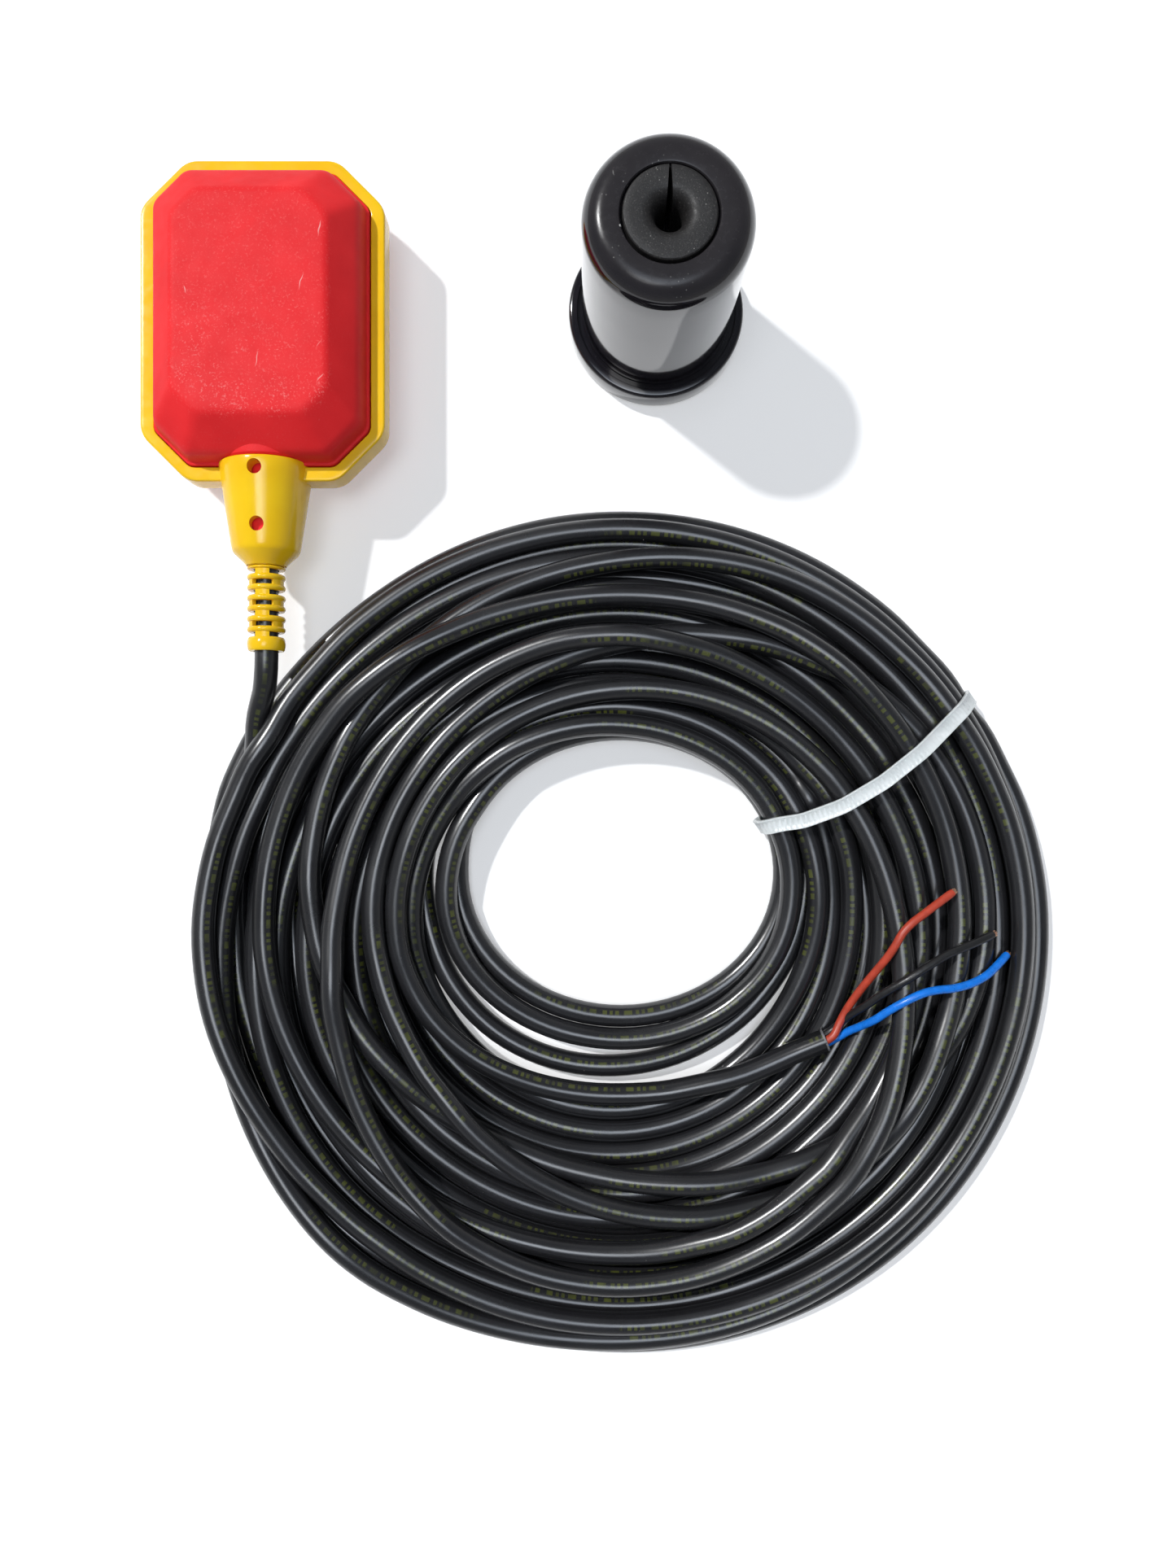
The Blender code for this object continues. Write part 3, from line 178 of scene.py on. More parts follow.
def piece(name, mesh, material, edge=35.0):
    """Put a mesh in the scene as one finished piece that rides on the root body."""
    thing = bpy.data.objects.new(name, mesh)
    bpy.context.scene.collection.objects.link(thing)
    mesh.materials.append(material)
    mesh.shade_smooth()
    mesh.set_sharp_from_angle(angle=math.radians(edge))
    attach(thing, "root")
    return thing


def surface(name, skins, material, edge=35.0, marks=None):
    """Skins as one finished piece."""
    return piece(name, mesh_of(name, skins, marks), material, edge)


def stand_in(name, skins, material, edge=30.0):
    """Skins as a finished piece that replaces the solid of the same name."""
    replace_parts(surface(name, skins, material, edge), name)


def circle(steps):
    """Angles at even steps round a circle."""
    return 2 * np.pi * np.arange(steps) / steps


def ring(first, second, turn):
    """The directions first * cos + second * sin at each angle, for every row of the two."""
    return first[..., None, :] * np.cos(turn)[:, None] + second[..., None, :] * np.sin(turn)[:, None]


def grid_of(x, y, z):
    """Three coordinates, spread to one shape, as a grid of points."""
    return np.stack(np.broadcast_arrays(x, y, z), axis=-1)


def eased(share):
    """A share from 0 to 1 that starts and ends gently: 3x^2 - 2x^3."""
    return share * share * (3 - 2 * share)


def cubic(p0, p1, p2, p3, t):
    """A cubic from p1 to p2, its slopes (p2 - p0) / 2 at the start and (p3 - p1) / 2 at the end."""
    return 0.5 * (
        2 * p1
        + (p2 - p0) * t
        + (2 * p0 - 5 * p1 + 4 * p2 - p3) * t**2
        + (3 * p1 - p0 - 3 * p2 + p3) * t**3
    )


def smooth_line(points, spacing):
    """Points at even distances along a line, by its lengths, on a cubic through it."""
    points = np.asarray(points, float)
    padded = np.concatenate([[2 * points[0] - points[1]], points, [2 * points[-1] - points[-2]]])
    t = (np.arange(12) / 12)[None, :, None]
    fine = cubic(*(padded[i:len(padded) - 3 + i][:, None] for i in range(4)), t)
    fine = np.concatenate([fine.reshape(-1, points.shape[1]), points[-1:]])
    return even_line(fine, spacing)


def lengths_along(points):
    """The distance of each point from the first, along the line."""
    return np.concatenate([[0.0], np.cumsum(np.linalg.norm(np.diff(points, axis=0), axis=1))])


def even_line(points, spacing):
    """The same line with its points at even distances."""
    along = lengths_along(points)
    count = max(2, int(round(along[-1] / spacing)) + 1)
    wanted = np.linspace(0.0, along[-1], count)
    return np.column_stack([np.interp(wanted, along, column) for column in points.T])


def line_frame(path):
    """Unit vectors along a line, level across it, and square to both."""
    along = np.gradient(path, axis=0)
    along /= np.linalg.norm(along, axis=1)[:, None]
    across = np.cross(along, (0.0, 0.0, 1.0))
    across /= np.linalg.norm(across, axis=1)[:, None]
    return along, across, np.cross(across, along)


def round_tube(path, radius, sides):
    """A tube round a line, with the distance along and the share of the way round as marks."""
    _, across, up = line_frame(path)
    radius = np.broadcast_to(np.asarray(radius, float), (len(path),))[:, None, None]
    grid = path[:, None] + radius * ring(across, up, circle(sides) - np.pi / 2)
    marks = grid_of(lengths_along(path)[:, None], np.arange(sides) / sides, 0.0)
    return grid, marks.reshape(-1, 3)


def swept(profile, turn):
    """Across, along and up for a profile of radius and place, turned by angles in a column."""
    radius, place = np.asarray(profile, float).T
    return radius * np.cos(turn), place, radius * np.sin(turn)


def turned_y(profile, turn):
    """A profile of radius and place behind the origin, turned round the float's axis."""
    across, place, up = swept(profile, turn)
    return grid_of(across, -place, MID_HEIGHT + up)


def turned_z(profile, turn):
    """A profile of radius and height turned round the counterweight's axis."""
    x, height, y = swept(profile, turn)
    return grid_of(WEIGHT_CENTRE[0] + x, WEIGHT_CENTRE[1] + y, height)


# The cable's route: lead, turns and tail

# Distances in mm of each turn from the coil's middle: left, bottom, right and top.
# Ten turns lie on the floor, nine come back out on them and five cross on top; the
# rows before the first and after the last only steer the route's ends.
TURNS = (
    (144, 140, 140, 145),
    (134, 138, 139.5, 138),
    (141, 131, 131, 133),
    (128, 121, 122.5, 123),
    (116, 111, 111, 114),
    (107, 101, 102, 105),
    (99, 92, 93, 97),
    (91, 84, 82, 89.5),
    (83, 73, 71, 81.8),
    (75, 47.5, 62, 74.5),
    (58.5, 28, 54, 68),
    (64, 36, 60, 72),
    (74, 70, 68, 78),
    (84, 79, 77, 84),
    (92, 88, 86, 91),
    (99, 97, 95, 98),
    (108, 108, 104, 106),
    (116, 119, 113, 115),
    (125, 129, 123, 126),
    (139, 137, 133, 136),
    (142, 128, 134, 124),
    (106, 84, 122, 100),
    (84, 94, 112, 112),
    (121, 104, 98, 100),
    (98, 116, 90, 84),
    (83, 56, 70, 80),
    (90, 60, 75, 85),
    (90, 60, 75, 85),
)

# The lead from the gland to the coil
LEAD = (
    (0.0, -0.0780, MID_HEIGHT),
    (0.0, -0.0900, MID_HEIGHT),
    (0.0, -0.1061, MID_HEIGHT),
    (0.0, -0.1100, 0.0213),
    (-0.0006, -0.1146, 0.0204),
    (-0.0018, -0.1200, 0.0184),
)

# The tail, with its heights above the end of the last turn
TAIL = (
    (0.1235, -0.2554, 0.004),
    (0.1330, -0.2544, 0.010),
    (0.1432, -0.2518, 0.014),
    (0.1540, -0.2480, 0.016),
    (0.1645, -0.2434, 0.018),
    (0.1745, -0.2387, 0.018),
    (0.1848, -0.2347, 0.018),
)

FIRST_ANGLE = math.radians(153.0)
LAST_ANGLE = math.radians(180.0 + 360.0 * (len(TURNS) - 4) + 70.0)

# How the route is laid and settled: lengths in metres, links and rounds in numbers
LINK = 0.006
BEND_RADIUS = 0.042
COIL_REACH = 0.1405
HOLE_CENTRE = np.array((0.1162, -0.1798))
HOLE_HALF = np.array((0.0558, 0.0489))
TURN_RISE = 0.0042
LEAD_HEIGHT = 0.0176
LAST_DIP = 0.012
ROUNDS = 460
PAIR_ROUNDS = 8
PAIR_REACH = 0.0125
HELD_LINKS = 20
LEAD_LINKS = 14
TAIL_LINKS = 60
FLOOR_LENGTH = 6.2
FALL = 0.00022
LATE_FALL = 0.00006
TAIL_FALL = 0.00004
STRAP_LIFT = 0.0016
HEAD_LIFT = 0.0036
TIE_GRIP = 0.0035
TIE_GRIP_WIDTH = 0.012
LEAD_SWELL = 0.0045
LEAD_ANGLE = 2.62
LEAD_SPREAD = 0.34

# Sideways bow of the tie, at distances from the coil's middle
TIE_BOW = (
    (0.0567, 0.0036),
    (0.0625, 0.0014),
    (0.0690, -0.0018),
    (0.0816, -0.0048),
    (0.0969, -0.0058),
    (0.1139, -0.0045),
    (0.1327, -0.0018),
)


def quarter_curve(values, place):
    """A smooth cubic through values at whole numbers, read at fractional places."""
    values = np.asarray(values, float)
    start = np.clip(place.astype(int), 1, len(values) - 3)
    return cubic(*(values[start + i] for i in (-1, 0, 1, 2)), place - start)


def laid_route():
    """The unsettled route: oval turns of varied reach, each above the one before.

    At the angle a the route is the coil's middle, moved by half the difference of the
    reaches on opposite sides, plus half their sum times (cos a, sin a); each side's
    reach is a smooth curve through its distances in turn after turn. The first turn
    comes down from the lead, and the last part dips to pass under its neighbours.
    """
    angle = np.arange(FIRST_ANGLE, LAST_ANGLE, LINK / 0.12)
    left, bottom, right, top = (
        quarter_curve(side, (angle - math.pi / 2 * quarter) / (2 * math.pi) + 1.0)
        for side, quarter in zip(np.array(TURNS).T * 0.001, (2, 3, 4, 5))
    )
    x = COIL_CENTRE[0] + (right - left) / 2 + (right + left) / 2 * np.cos(angle)
    y = COIL_CENTRE[1] + (top - bottom) / 2 + (top + bottom) / 2 * np.sin(angle)
    count = (angle - FIRST_ANGLE) / (2 * math.pi)
    height = CABLE_RADIUS + TURN_RISE * count
    height -= LAST_DIP * np.clip((count - count[-1] + 0.62) / 0.2, 0, 1)
    sunk = np.clip((angle - FIRST_ANGLE) * 0.14 / 0.055, 0, 1)
    height += (LEAD_HEIGHT - CABLE_RADIUS) * (1 - eased(sunk))
    turns = np.column_stack([x, y, height])
    tail = np.array(TAIL) + (0.0, 0.0, turns[-1, 2])
    return smooth_line(np.concatenate([LEAD, turns[1:], tail]), LINK)


def close_links(points, reach, apart):
    """Pairs of links nearer than a distance, found by sorting them into square cells."""
    middle = (points[1:] + points[:-1]) / 2
    key = np.floor(middle[:, :2] / reach).astype(int)
    key -= key.min(axis=0)
    width = key[:, 1].max() + 3
    code = key[:, 0] * width + key[:, 1]
    order = np.argsort(code, kind="stable")
    ordered = code[order]
    found = []
    for step_x, step_y in ((0, 0), (0, 1), (1, -1), (1, 0), (1, 1)):
        wanted = code + step_x * width + step_y
        low = np.searchsorted(ordered, wanted, "left")
        count = np.searchsorted(ordered, wanted, "right") - low
        first = np.repeat(np.arange(len(code)), count)
        offset = np.arange(count.sum()) - np.repeat(np.cumsum(count) - count, count)
        second = order[np.repeat(low, count) + offset]
        if step_x == 0 and step_y == 0:
            keep = first < second
            first, second = first[keep], second[keep]
        found.append(np.stack([first, second], 1))
    pairs = np.concatenate(found)
    pairs = pairs[np.abs(pairs[:, 0] - pairs[:, 1]) > apart]
    gap = np.linalg.norm(middle[pairs[:, 0]] - middle[pairs[:, 1]], axis=1)
    return pairs[gap < reach]


def push_apart(points, pairs, contact):
    """Move each two links that are nearer than the contact distance half way apart.

    The nearest points of two links are where the line between them is square to
    both, kept within the links' ends.
    """
    i, j = pairs[:, 0], pairs[:, 1]
    u = points[i + 1] - points[i]
    v = points[j + 1] - points[j]
    w = points[i] - points[j]
    uu, vv, uv = (u * u).sum(1), (v * v).sum(1), (u * v).sum(1)
    uw, vw = (u * w).sum(1), (v * w).sum(1)
    square = uu * vv - uv * uv + 1e-14
    s = np.clip((uv * vw - vv * uw) / square, 0, 1)
    t = np.clip((uv * s + vw) / vv, 0, 1)
    s = np.clip((uv * t - uw) / uu, 0, 1)
    gap = w + u * s[:, None] - v * t[:, None]
    distance = np.linalg.norm(gap, axis=1) + 1e-9
    hit = distance < contact
    i, j, s, t, gap, distance = i[hit], j[hit], s[hit], t[hit], gap[hit], distance[hit]
    move = gap / distance[:, None] * (0.5 * (contact - distance))[:, None]
    ends = np.concatenate([i, i + 1, j, j + 1])
    weights = np.concatenate([1 - s, s, 1 - t, t])
    moves = np.concatenate([move, move, -move, -move]) * weights[:, None]
    load = np.maximum(np.bincount(ends, weights, len(points)), 1.0)
    shift = [np.bincount(ends, moves[:, k], len(points)) for k in range(3)]
    points += np.column_stack(shift) / load[:, None]


def limit_bends(points, step):
    """Straighten each stretch that bends tighter than the cable may.

    Over a half chord L a bend of radius R stands L * L / (2 * R) off its chord.
    """
    middle = (points[:-2 * step] + points[2 * step:]) / 2
    offset = middle - points[step:-step]
    size = np.linalg.norm(offset, axis=1) + 1e-9
    allowed = (LINK * step) ** 2 / (2 * BEND_RADIUS)
    move = offset / size[:, None] * (np.maximum(size - allowed, 0.0) * 0.4)[:, None]
    points[step:-step] += move
    points[:-2 * step] -= move * 0.3
    points[2 * step:] -= move * 0.3


def tie_side(outward, over):
    """How far the tie's line lies beside its spoke, at a distance from the coil's middle.

    Over the turns it follows its bow, and under them the straight line between the ends.
    """
    places, sides = np.array(TIE_BOW).T
    bowed = np.interp(outward, places, sides)
    straight = np.interp(outward, places[[0, -1]], sides[[0, -1]])
    return np.where(over, bowed, straight)


def straighten(points):
    """Even out the line's heights, and in plan how its bend changes.

    In plan only the change of bend is evened out, so that the turns keep their size.
    """
    bend = np.zeros_like(points)
    bend[1:-1] = (points[:-2] + points[2:]) / 2 - points[1:-1]
    points[1:-1, 2] += 0.40 * bend[1:-1, 2]
    points[1:-1, :2] += 0.30 * (bend[1:-1] - (bend[:-2] + bend[2:]) / 2)[:, :2]
    wide = (points[:-6] + points[6:]) / 2 - points[3:-3]
    points[3:-3, 2] += 0.18 * wide[:, 2]
    long = (points[:-8] + points[8:]) / 2 - points[4:-4]
    points[8:-8, :2] += 0.22 * (long[4:-4] - (long[:-8] + long[8:]) / 2)[:, :2]


def keep_in_bounds(points):
    """Lift links onto the floor, the tie's strap and its head, and hold them in the coil.

    The coil's outer limit is drawn in where the tie grips it and swells by a bell
    curve where the lead comes in; its hole is an ellipse.
    """
    off = points[:, :2] - COIL_CENTRE
    outward = off @ TIE_SPOKE
    sideways = np.abs(off @ TIE_SQUARE - tie_side(outward, False))
    by_tie = (outward > 0) & (sideways < 0.02)
    by_head = by_tie & (np.abs(outward - TIE_HEAD_PLACE) < 0.0052)
    rise = np.clip((0.0045 - sideways) / 0.002, 0, 1)
    floor = CABLE_RADIUS + by_tie * (STRAP_LIFT * rise) + by_head * (HEAD_LIFT * rise)
    points[:, 2] = np.maximum(points[:, 2], floor)
    distance = np.linalg.norm(off, axis=1)
    squeeze = by_tie * (TIE_GRIP * np.exp(-((sideways / TIE_GRIP_WIDTH) ** 2)))
    turned = np.arctan2(off[:, 1], off[:, 0])
    swell = LEAD_SWELL * np.exp(-(((turned - LEAD_ANGLE) / LEAD_SPREAD) ** 2))
    over = np.maximum(distance - (COIL_REACH - squeeze + swell), 0.0)
    over[:LEAD_LINKS] = 0.0
    points[:, :2] -= off * (over / distance)[:, None]
    into = (points[:, :2] - HOLE_CENTRE) / HOLE_HALF
    depth = np.linalg.norm(into, axis=1)
    inside = np.where(depth < 1.0, 1.0 / np.maximum(depth, 0.2) - 1.0, 0.0)
    points[:, :2] += into * HOLE_HALF * inside[:, None]


def settle(route):
    """Let the turns sink onto the floor and each other, as one flexible line.

    In each round the links fall a little, are drawn to their place in the plan, keep
    their widest bend, and are pushed apart to one diameter.
    """
    points = route.copy()
    number = np.arange(len(route))
    held = (route[:, 1] > -0.1150) & (number < HELD_LINKS)
    pull = np.where(number < FLOOR_LENGTH / LINK, 0.08, 0.03)[:, None]
    tail_fall = TAIL_FALL * np.linspace(0.0, 1.0, TAIL_LINKS)
    for count in range(ROUNDS):
        if count % PAIR_ROUNDS == 0:
            pairs = close_links(points, PAIR_REACH, 4)
        late = count > ROUNDS * 0.8
        points[:, 2] -= LATE_FALL if late else FALL
        points[-TAIL_LINKS:, 2] -= tail_fall
        points[:, :2] += (route[:, :2] - points[:, :2]) * (pull * (0.3 if late else 1.0))
        straighten(points)
        for step in (1, 2, 3, 5):
            limit_bends(points, step)
        for _ in range(4 if late else 2):
            push_apart(points, pairs, CABLE_DIAMETER * 0.995)
            keep_in_bounds(points)
            points[held] = route[held]
    return points


def rest_on(line, support, radius, gap):
    """Heights of a thin stiff line that rests on the tubes under it and bridges between them.

    Over a tube a thin line is carried at height + sqrt((sum of radii)^2 - offset^2). The
    line straightens like a springy wire and is lifted wherever it would sink in.
    """
    away = np.linalg.norm(line[:, None, :2] - support[None, :, :2], axis=2)
    reach = CABLE_RADIUS + radius + gap
    lift = np.sqrt(np.maximum(reach**2 - away**2, 0.0))
    height = np.where(away < reach, support[None, :, 2] + lift, radius)
    carried = height.max(axis=1)
    level = carried.copy()
    for _ in range(400):
        level[1:-1] = (level[:-2] + 2 * level[1:-1] + level[2:]) / 4
        level = np.maximum(level, carried)
    for _ in range(30):
        level[1:-1] = (level[:-2] + 2 * level[1:-1] + level[2:]) / 4
    return level + max(0.0, float((carried - level).max()) - 0.0004)


ROUTE = settle(laid_route())
CABLE_PATH = smooth_line(ROUTE, 0.0042)


# Shader nodes


class Nodes:
    """One node tree, with a short name for each node that a finish is made of.

    Noise and cells are read at the finish's own place unless another is given.
    """

    def __init__(self, tree):
        self.tree = tree

    def join(self, value, socket):
        """Set a number or colour on a socket, or join a node's output to it."""
        if isinstance(value, bpy.types.NodeSocket):
            self.tree.links.new(value, socket)
        else:
            socket.default_value = value

    def node(self, kind, inputs, **settings):
        """The outputs of a new node, whose inputs are set or joined by name or number."""
        made = self.tree.nodes.new("ShaderNode" + kind)
        for name, value in settings.items():
            setattr(made, name, value)
        for key, value in inputs.items():
            self.join(value, made.inputs[key])
        return made.outputs

    def spot(self, shift=(0.0, 0.0, 0.0)):
        """Object coordinates through one mapping."""
        place = self.node("TexCoord", {})["Object"]
        return self.node("Mapping", {"Vector": place, "Location": shift})["Vector"]

    def noise(self, scale, detail=3.0, roughness=0.5, place=None):
        """Cloudy noise, 0 to 1."""
        place = self.place if place is None else place
        inputs = {"Vector": place, "Scale": scale, "Detail": detail, "Roughness": roughness}
        return self.node("TexNoise", inputs)["Fac"]

    def clouds(self, scale, detail, low, high, *ends, roughness=0.5):
        """Cloudy noise between low and high laid out from 0 to 1, or between other ends."""
        return self.spread(self.noise(scale, detail, roughness), low, high, *ends)

    def cells(self, scale, place=None):
        """Distance from the nearest of scattered points."""
        place = self.place if place is None else place
        return self.node("TexVoronoi", {"Vector": place, "Scale": scale})["Distance"]

    def spread(self, value, low, high, start=0.0, end=1.0):
        """A value between low and high laid out from start to end, and held there outside."""
        limits = {"From Min": low, "From Max": high, "To Min": start, "To Max": end}
        return self.node("MapRange", {"Value": value, **limits})["Result"]

    def reckon(self, operation, *values):
        """One step of arithmetic."""
        inputs = dict(enumerate((*values, 0.0, 0.0)[:3]))
        return self.node("Math", inputs, operation=operation)["Value"]

    def times(self, first, second):
        """The product of two values."""
        return self.reckon("MULTIPLY", first, second)

    def plus(self, first, second):
        """The sum of two values."""
        return self.reckon("ADD", first, second)

    def most(self, first, second):
        """The larger of two values."""
        return self.reckon("MAXIMUM", first, second)

    def mix(self, share, first, second):
        """Two colours mixed by a share."""
        first, second = ((*v, 1.0) if isinstance(v, tuple) else v for v in (first, second))
        return self.node("Mix", {0: share, 6: first, 7: second}, data_type="RGBA")[2]

    def bump(self, height, distance, strength, **under):
        """A surface relief of a height map, the distance in metres."""
        inputs = {"Height": height, "Distance": distance, "Strength": strength}
        return self.node("Bump", {**inputs, **under})["Normal"]

    def parts(self, vector):
        """The three parts of a vector."""
        return self.node("SeparateXYZ", {"Vector": vector})

    def band(self, value, low, high, soft):
        """1 between low and high, 0 outside, with soft ends."""
        rise = self.spread(value, low - soft, low + soft)
        return self.times(rise, self.spread(value, high - soft, high + soft, 1.0, 0.0))

    def scratches(self, turn, length, width, amount):
        """Sparse fine scratches along one direction, slightly curved.

        Each is a scattered point seen through coordinates squeezed along the scratch.
        """
        wobble = self.node("TexNoise", {"Vector": self.spot(), "Scale": 110.0})["Color"]
        bent = {0: wobble, 1: (0.004, 0.004, 0.0), 2: self.spot()}
        squeezed = {
            "Vector": self.node("VectorMath", bent, operation="MULTIPLY_ADD")["Vector"],
            "Scale": (width * 10, length * 10, width * 10),
            "Rotation": (0.0, 0.0, math.radians(turn)),
            "Location": (0.001 * turn, 0.002 * turn, 0.0),
        }
        squeezed = self.node("Mapping", squeezed, vector_type="TEXTURE")["Vector"]
        lines = self.spread(self.cells(1.0, squeezed), 0.02, 0.06, 1.0, 0.0)
        patches = self.noise(60.0, 2.0, place=self.spot((0.7 * turn, 0.3, 0.0)))
        return self.times(lines, self.spread(patches, 0.56 - amount, 0.64 - amount))

    def flecks(self, scale, size, amount, patch_scale=90.0):
        """Scattered small dots, thinned out in patches."""
        dots = self.spread(self.cells(scale), size * 0.5, size, 1.0, 0.0)
        return self.times(dots, self.clouds(patch_scale, 2.0, 0.6 - amount, 0.75 - amount))


class Finish(Nodes):
    """A material worked out from a piece's own coordinates."""

    def __init__(self, name, colour, roughness, **values):
        self.material = bpy.data.materials.new(name)
        self.material.use_nodes = True
        self.material.diffuse_color = (*colour, 1.0)
        super().__init__(self.material.node_tree)
        self.base = self.tree.nodes["Principled BSDF"].inputs
        for socket, value in {"Base_Color": (*colour, 1.0), "Roughness": roughness, **values}.items():
            self.base[socket.replace("_", " ")].default_value = value

    @cached_property
    def place(self):
        """The piece's own coordinates."""
        return self.spot()

    def done(self, colour, roughness, normal):
        """Join what varies over the surface, and give the material."""
        for name, value in (("Base Color", colour), ("Roughness", roughness), ("Normal", normal)):
            self.join(value, self.base[name])
        return self.material


# Materials

# Scratches on the red facet: turn in degrees, length, width and amount
SCUFFS = (
    (-32.0, 0.0036, 0.00030, 0.02),
    (72.0, 0.0090, 0.00032, 0.0),
    (118.0, 0.0060, 0.00030, 0.0),
    (20.0, 0.0022, 0.00034, 0.04),
)
DASH_PITCH = 0.0029
GROUP_PITCH = 0.121


def red_shell_finish():
    """Satin red moulding: grain, pale dust denser at the cable's end, curved scuffs."""
    m = Finish("red_shell", (0.80, 0.020, 0.026), 0.55, Specular_IOR_Level=0.16)
    _, forward, height = m.parts(m.place)
    red = m.mix(m.clouds(70.0, 3.0, 0.3, 0.7), (0.76, 0.019, 0.023), (0.85, 0.025, 0.029))
    away = m.reckon("ABSOLUTE", m.reckon("SUBTRACT", height, MID_HEIGHT))
    facet = m.spread(away, 0.0195, 0.0212, 0.1, 1.0)
    heavy = m.times(m.spread(forward, 0.012, -0.034), m.clouds(90.0, 2.0, 0.42, 0.62))
    dust = m.clouds(1500.0, 3.0, 0.55, 0.78, roughness=0.65)
    dust = m.times(dust, m.plus(0.16, m.times(heavy, 0.55)))
    scuffs = m.scratches(-14.0, 0.0048, 0.00036, 0.06)
    for scuff in SCUFFS:
        scuffs = m.most(scuffs, m.scratches(*scuff))
    dots = m.times(m.flecks(420.0, 0.10, 0.0), 0.6)
    pale = m.times(m.most(m.most(dust, m.times(scuffs, 0.85)), dots), facet)
    rough = m.plus(m.clouds(240.0, 3.0, 0.3, 0.7, 0.50, 0.60), m.times(pale, 0.2))
    grain = m.bump(m.noise(3200.0, 2.0), 0.00003, 0.7)
    return m.done(m.mix(pale, red, (0.88, 0.44, 0.42)), rough, grain)


def yellow_finish():
    """Glossy yellow moulding: its tone varies in clouds, with dark specks and light handling marks."""
    m = Finish("yellow_moulding", (0.95, 0.60, 0.010), 0.24, Specular_IOR_Level=0.4)
    yellow = m.mix(m.clouds(55.0, 3.0, 0.35, 0.68), (0.88, 0.52, 0.007), (0.94, 0.60, 0.011))
    marks = m.times(m.scratches(80.0, 0.004, 0.0003, -0.02), 0.3)
    grime = m.most(m.times(m.flecks(300.0, 0.10, -0.03), 0.5), marks)
    gloss = m.clouds(400.0, 4.0, 0.3, 0.75, 0.14, 0.24)
    ripple = m.bump(m.noise(130.0, 2.0), 0.00010, 0.25)
    grain = m.bump(m.noise(2200.0, 2.0), 0.00001, 0.5, Normal=ripple)
    return m.done(m.mix(grime, yellow, (0.34, 0.20, 0.02)), gloss, grain)


def jacket_finish():
    """Black sheath: faint drawing lines, dust, and a plain row of worn olive dashes.

    The cable's own attribute gives the distance along it and the fraction of the way
    round, so that the row keeps its pitch and wanders a little round the cable.
    """
    m = Finish("cable_jacket", (0.008, 0.008, 0.009), 0.26, Specular_IOR_Level=0.75)
    along = m.node("Attribute", {}, attribute_name="along")["Vector"]
    distance, turn, _ = m.parts(along)
    black = m.mix(m.clouds(45.0, 3.0, 0.3, 0.7), (0.010, 0.010, 0.011), (0.016, 0.016, 0.018))
    dust = m.times(m.flecks(520.0, 0.09, -0.03), 0.5)
    film = m.times(m.clouds(900.0, 4.0, 0.55, 0.85, roughness=0.7), 0.03)
    black = m.mix(m.most(dust, film), black, (0.42, 0.40, 0.36))
    drift = m.times(m.reckon("SINE", m.times(distance, 9.0)), 0.06)
    row = m.band(m.plus(turn, drift), 0.524, 0.586, 0.007)
    uneven = m.times(m.reckon("SINE", m.times(distance, 610.0)), 0.3)
    dash = m.reckon("FRACT", m.reckon("MULTIPLY_ADD", distance, 1 / DASH_PITCH, uneven))
    group = m.band(m.reckon("FRACT", m.times(distance, 1 / GROUP_PITCH)), 0.05, 0.62, 0.01)
    worn = m.clouds(160.0, 2.0, 0.36, 0.60, 0.25, 1.0)
    ink = m.times(m.times(row, m.band(dash, 0.15, 0.70, 0.04)), m.times(group, worn))
    gloss = m.plus(m.clouds(30.0, 3.0, 0.3, 0.72, 0.20, 0.32), m.times(dust, 0.3))
    cores = m.reckon("SINE", m.plus(m.times(turn, 18.85), m.times(distance, 75.0)))
    soft = m.bump(cores, 0.00006, 0.35)
    lines = m.bump(m.noise(260.0, 3.0), 0.00005, 0.4, Normal=soft)
    return m.done(m.mix(m.times(ink, 0.75), black, (0.080, 0.090, 0.016)), gloss, lines)


def core_finish(name, colour, roughness=0.34):
    """Core insulation: clean colour with faint smears and a soft sheen."""
    m = Finish(name, colour, roughness)
    dark = tuple(part * 0.78 for part in colour)
    smeared = m.mix(m.clouds(380.0, 3.0, 0.35, 0.7), dark, colour)
    gloss = m.clouds(900.0, 3.0, 0.3, 0.7, roughness - 0.05, roughness + 0.1)
    return m.done(smeared, gloss, m.bump(m.noise(700.0, 2.0), 0.00006, 0.5))


def nylon_finish():
    """Milky nylon that lets some light through, its tone varying in clouds."""
    light = {"Subsurface_Weight": 0.3, "Subsurface_Radius": (0.9, 1.0, 1.0), "Subsurface_Scale": 0.0012}
    m = Finish("nylon", (0.66, 0.69, 0.69), 0.26, **light)
    milky = m.mix(m.clouds(160.0, 3.0, 0.3, 0.7), (0.60, 0.64, 0.64), (0.72, 0.75, 0.75))
    gloss = m.clouds(700.0, 2.0, 0.3, 0.7, 0.24, 0.38)
    return m.done(milky, gloss, m.bump(m.noise(1500.0, 2.0), 0.00003, 0.5))


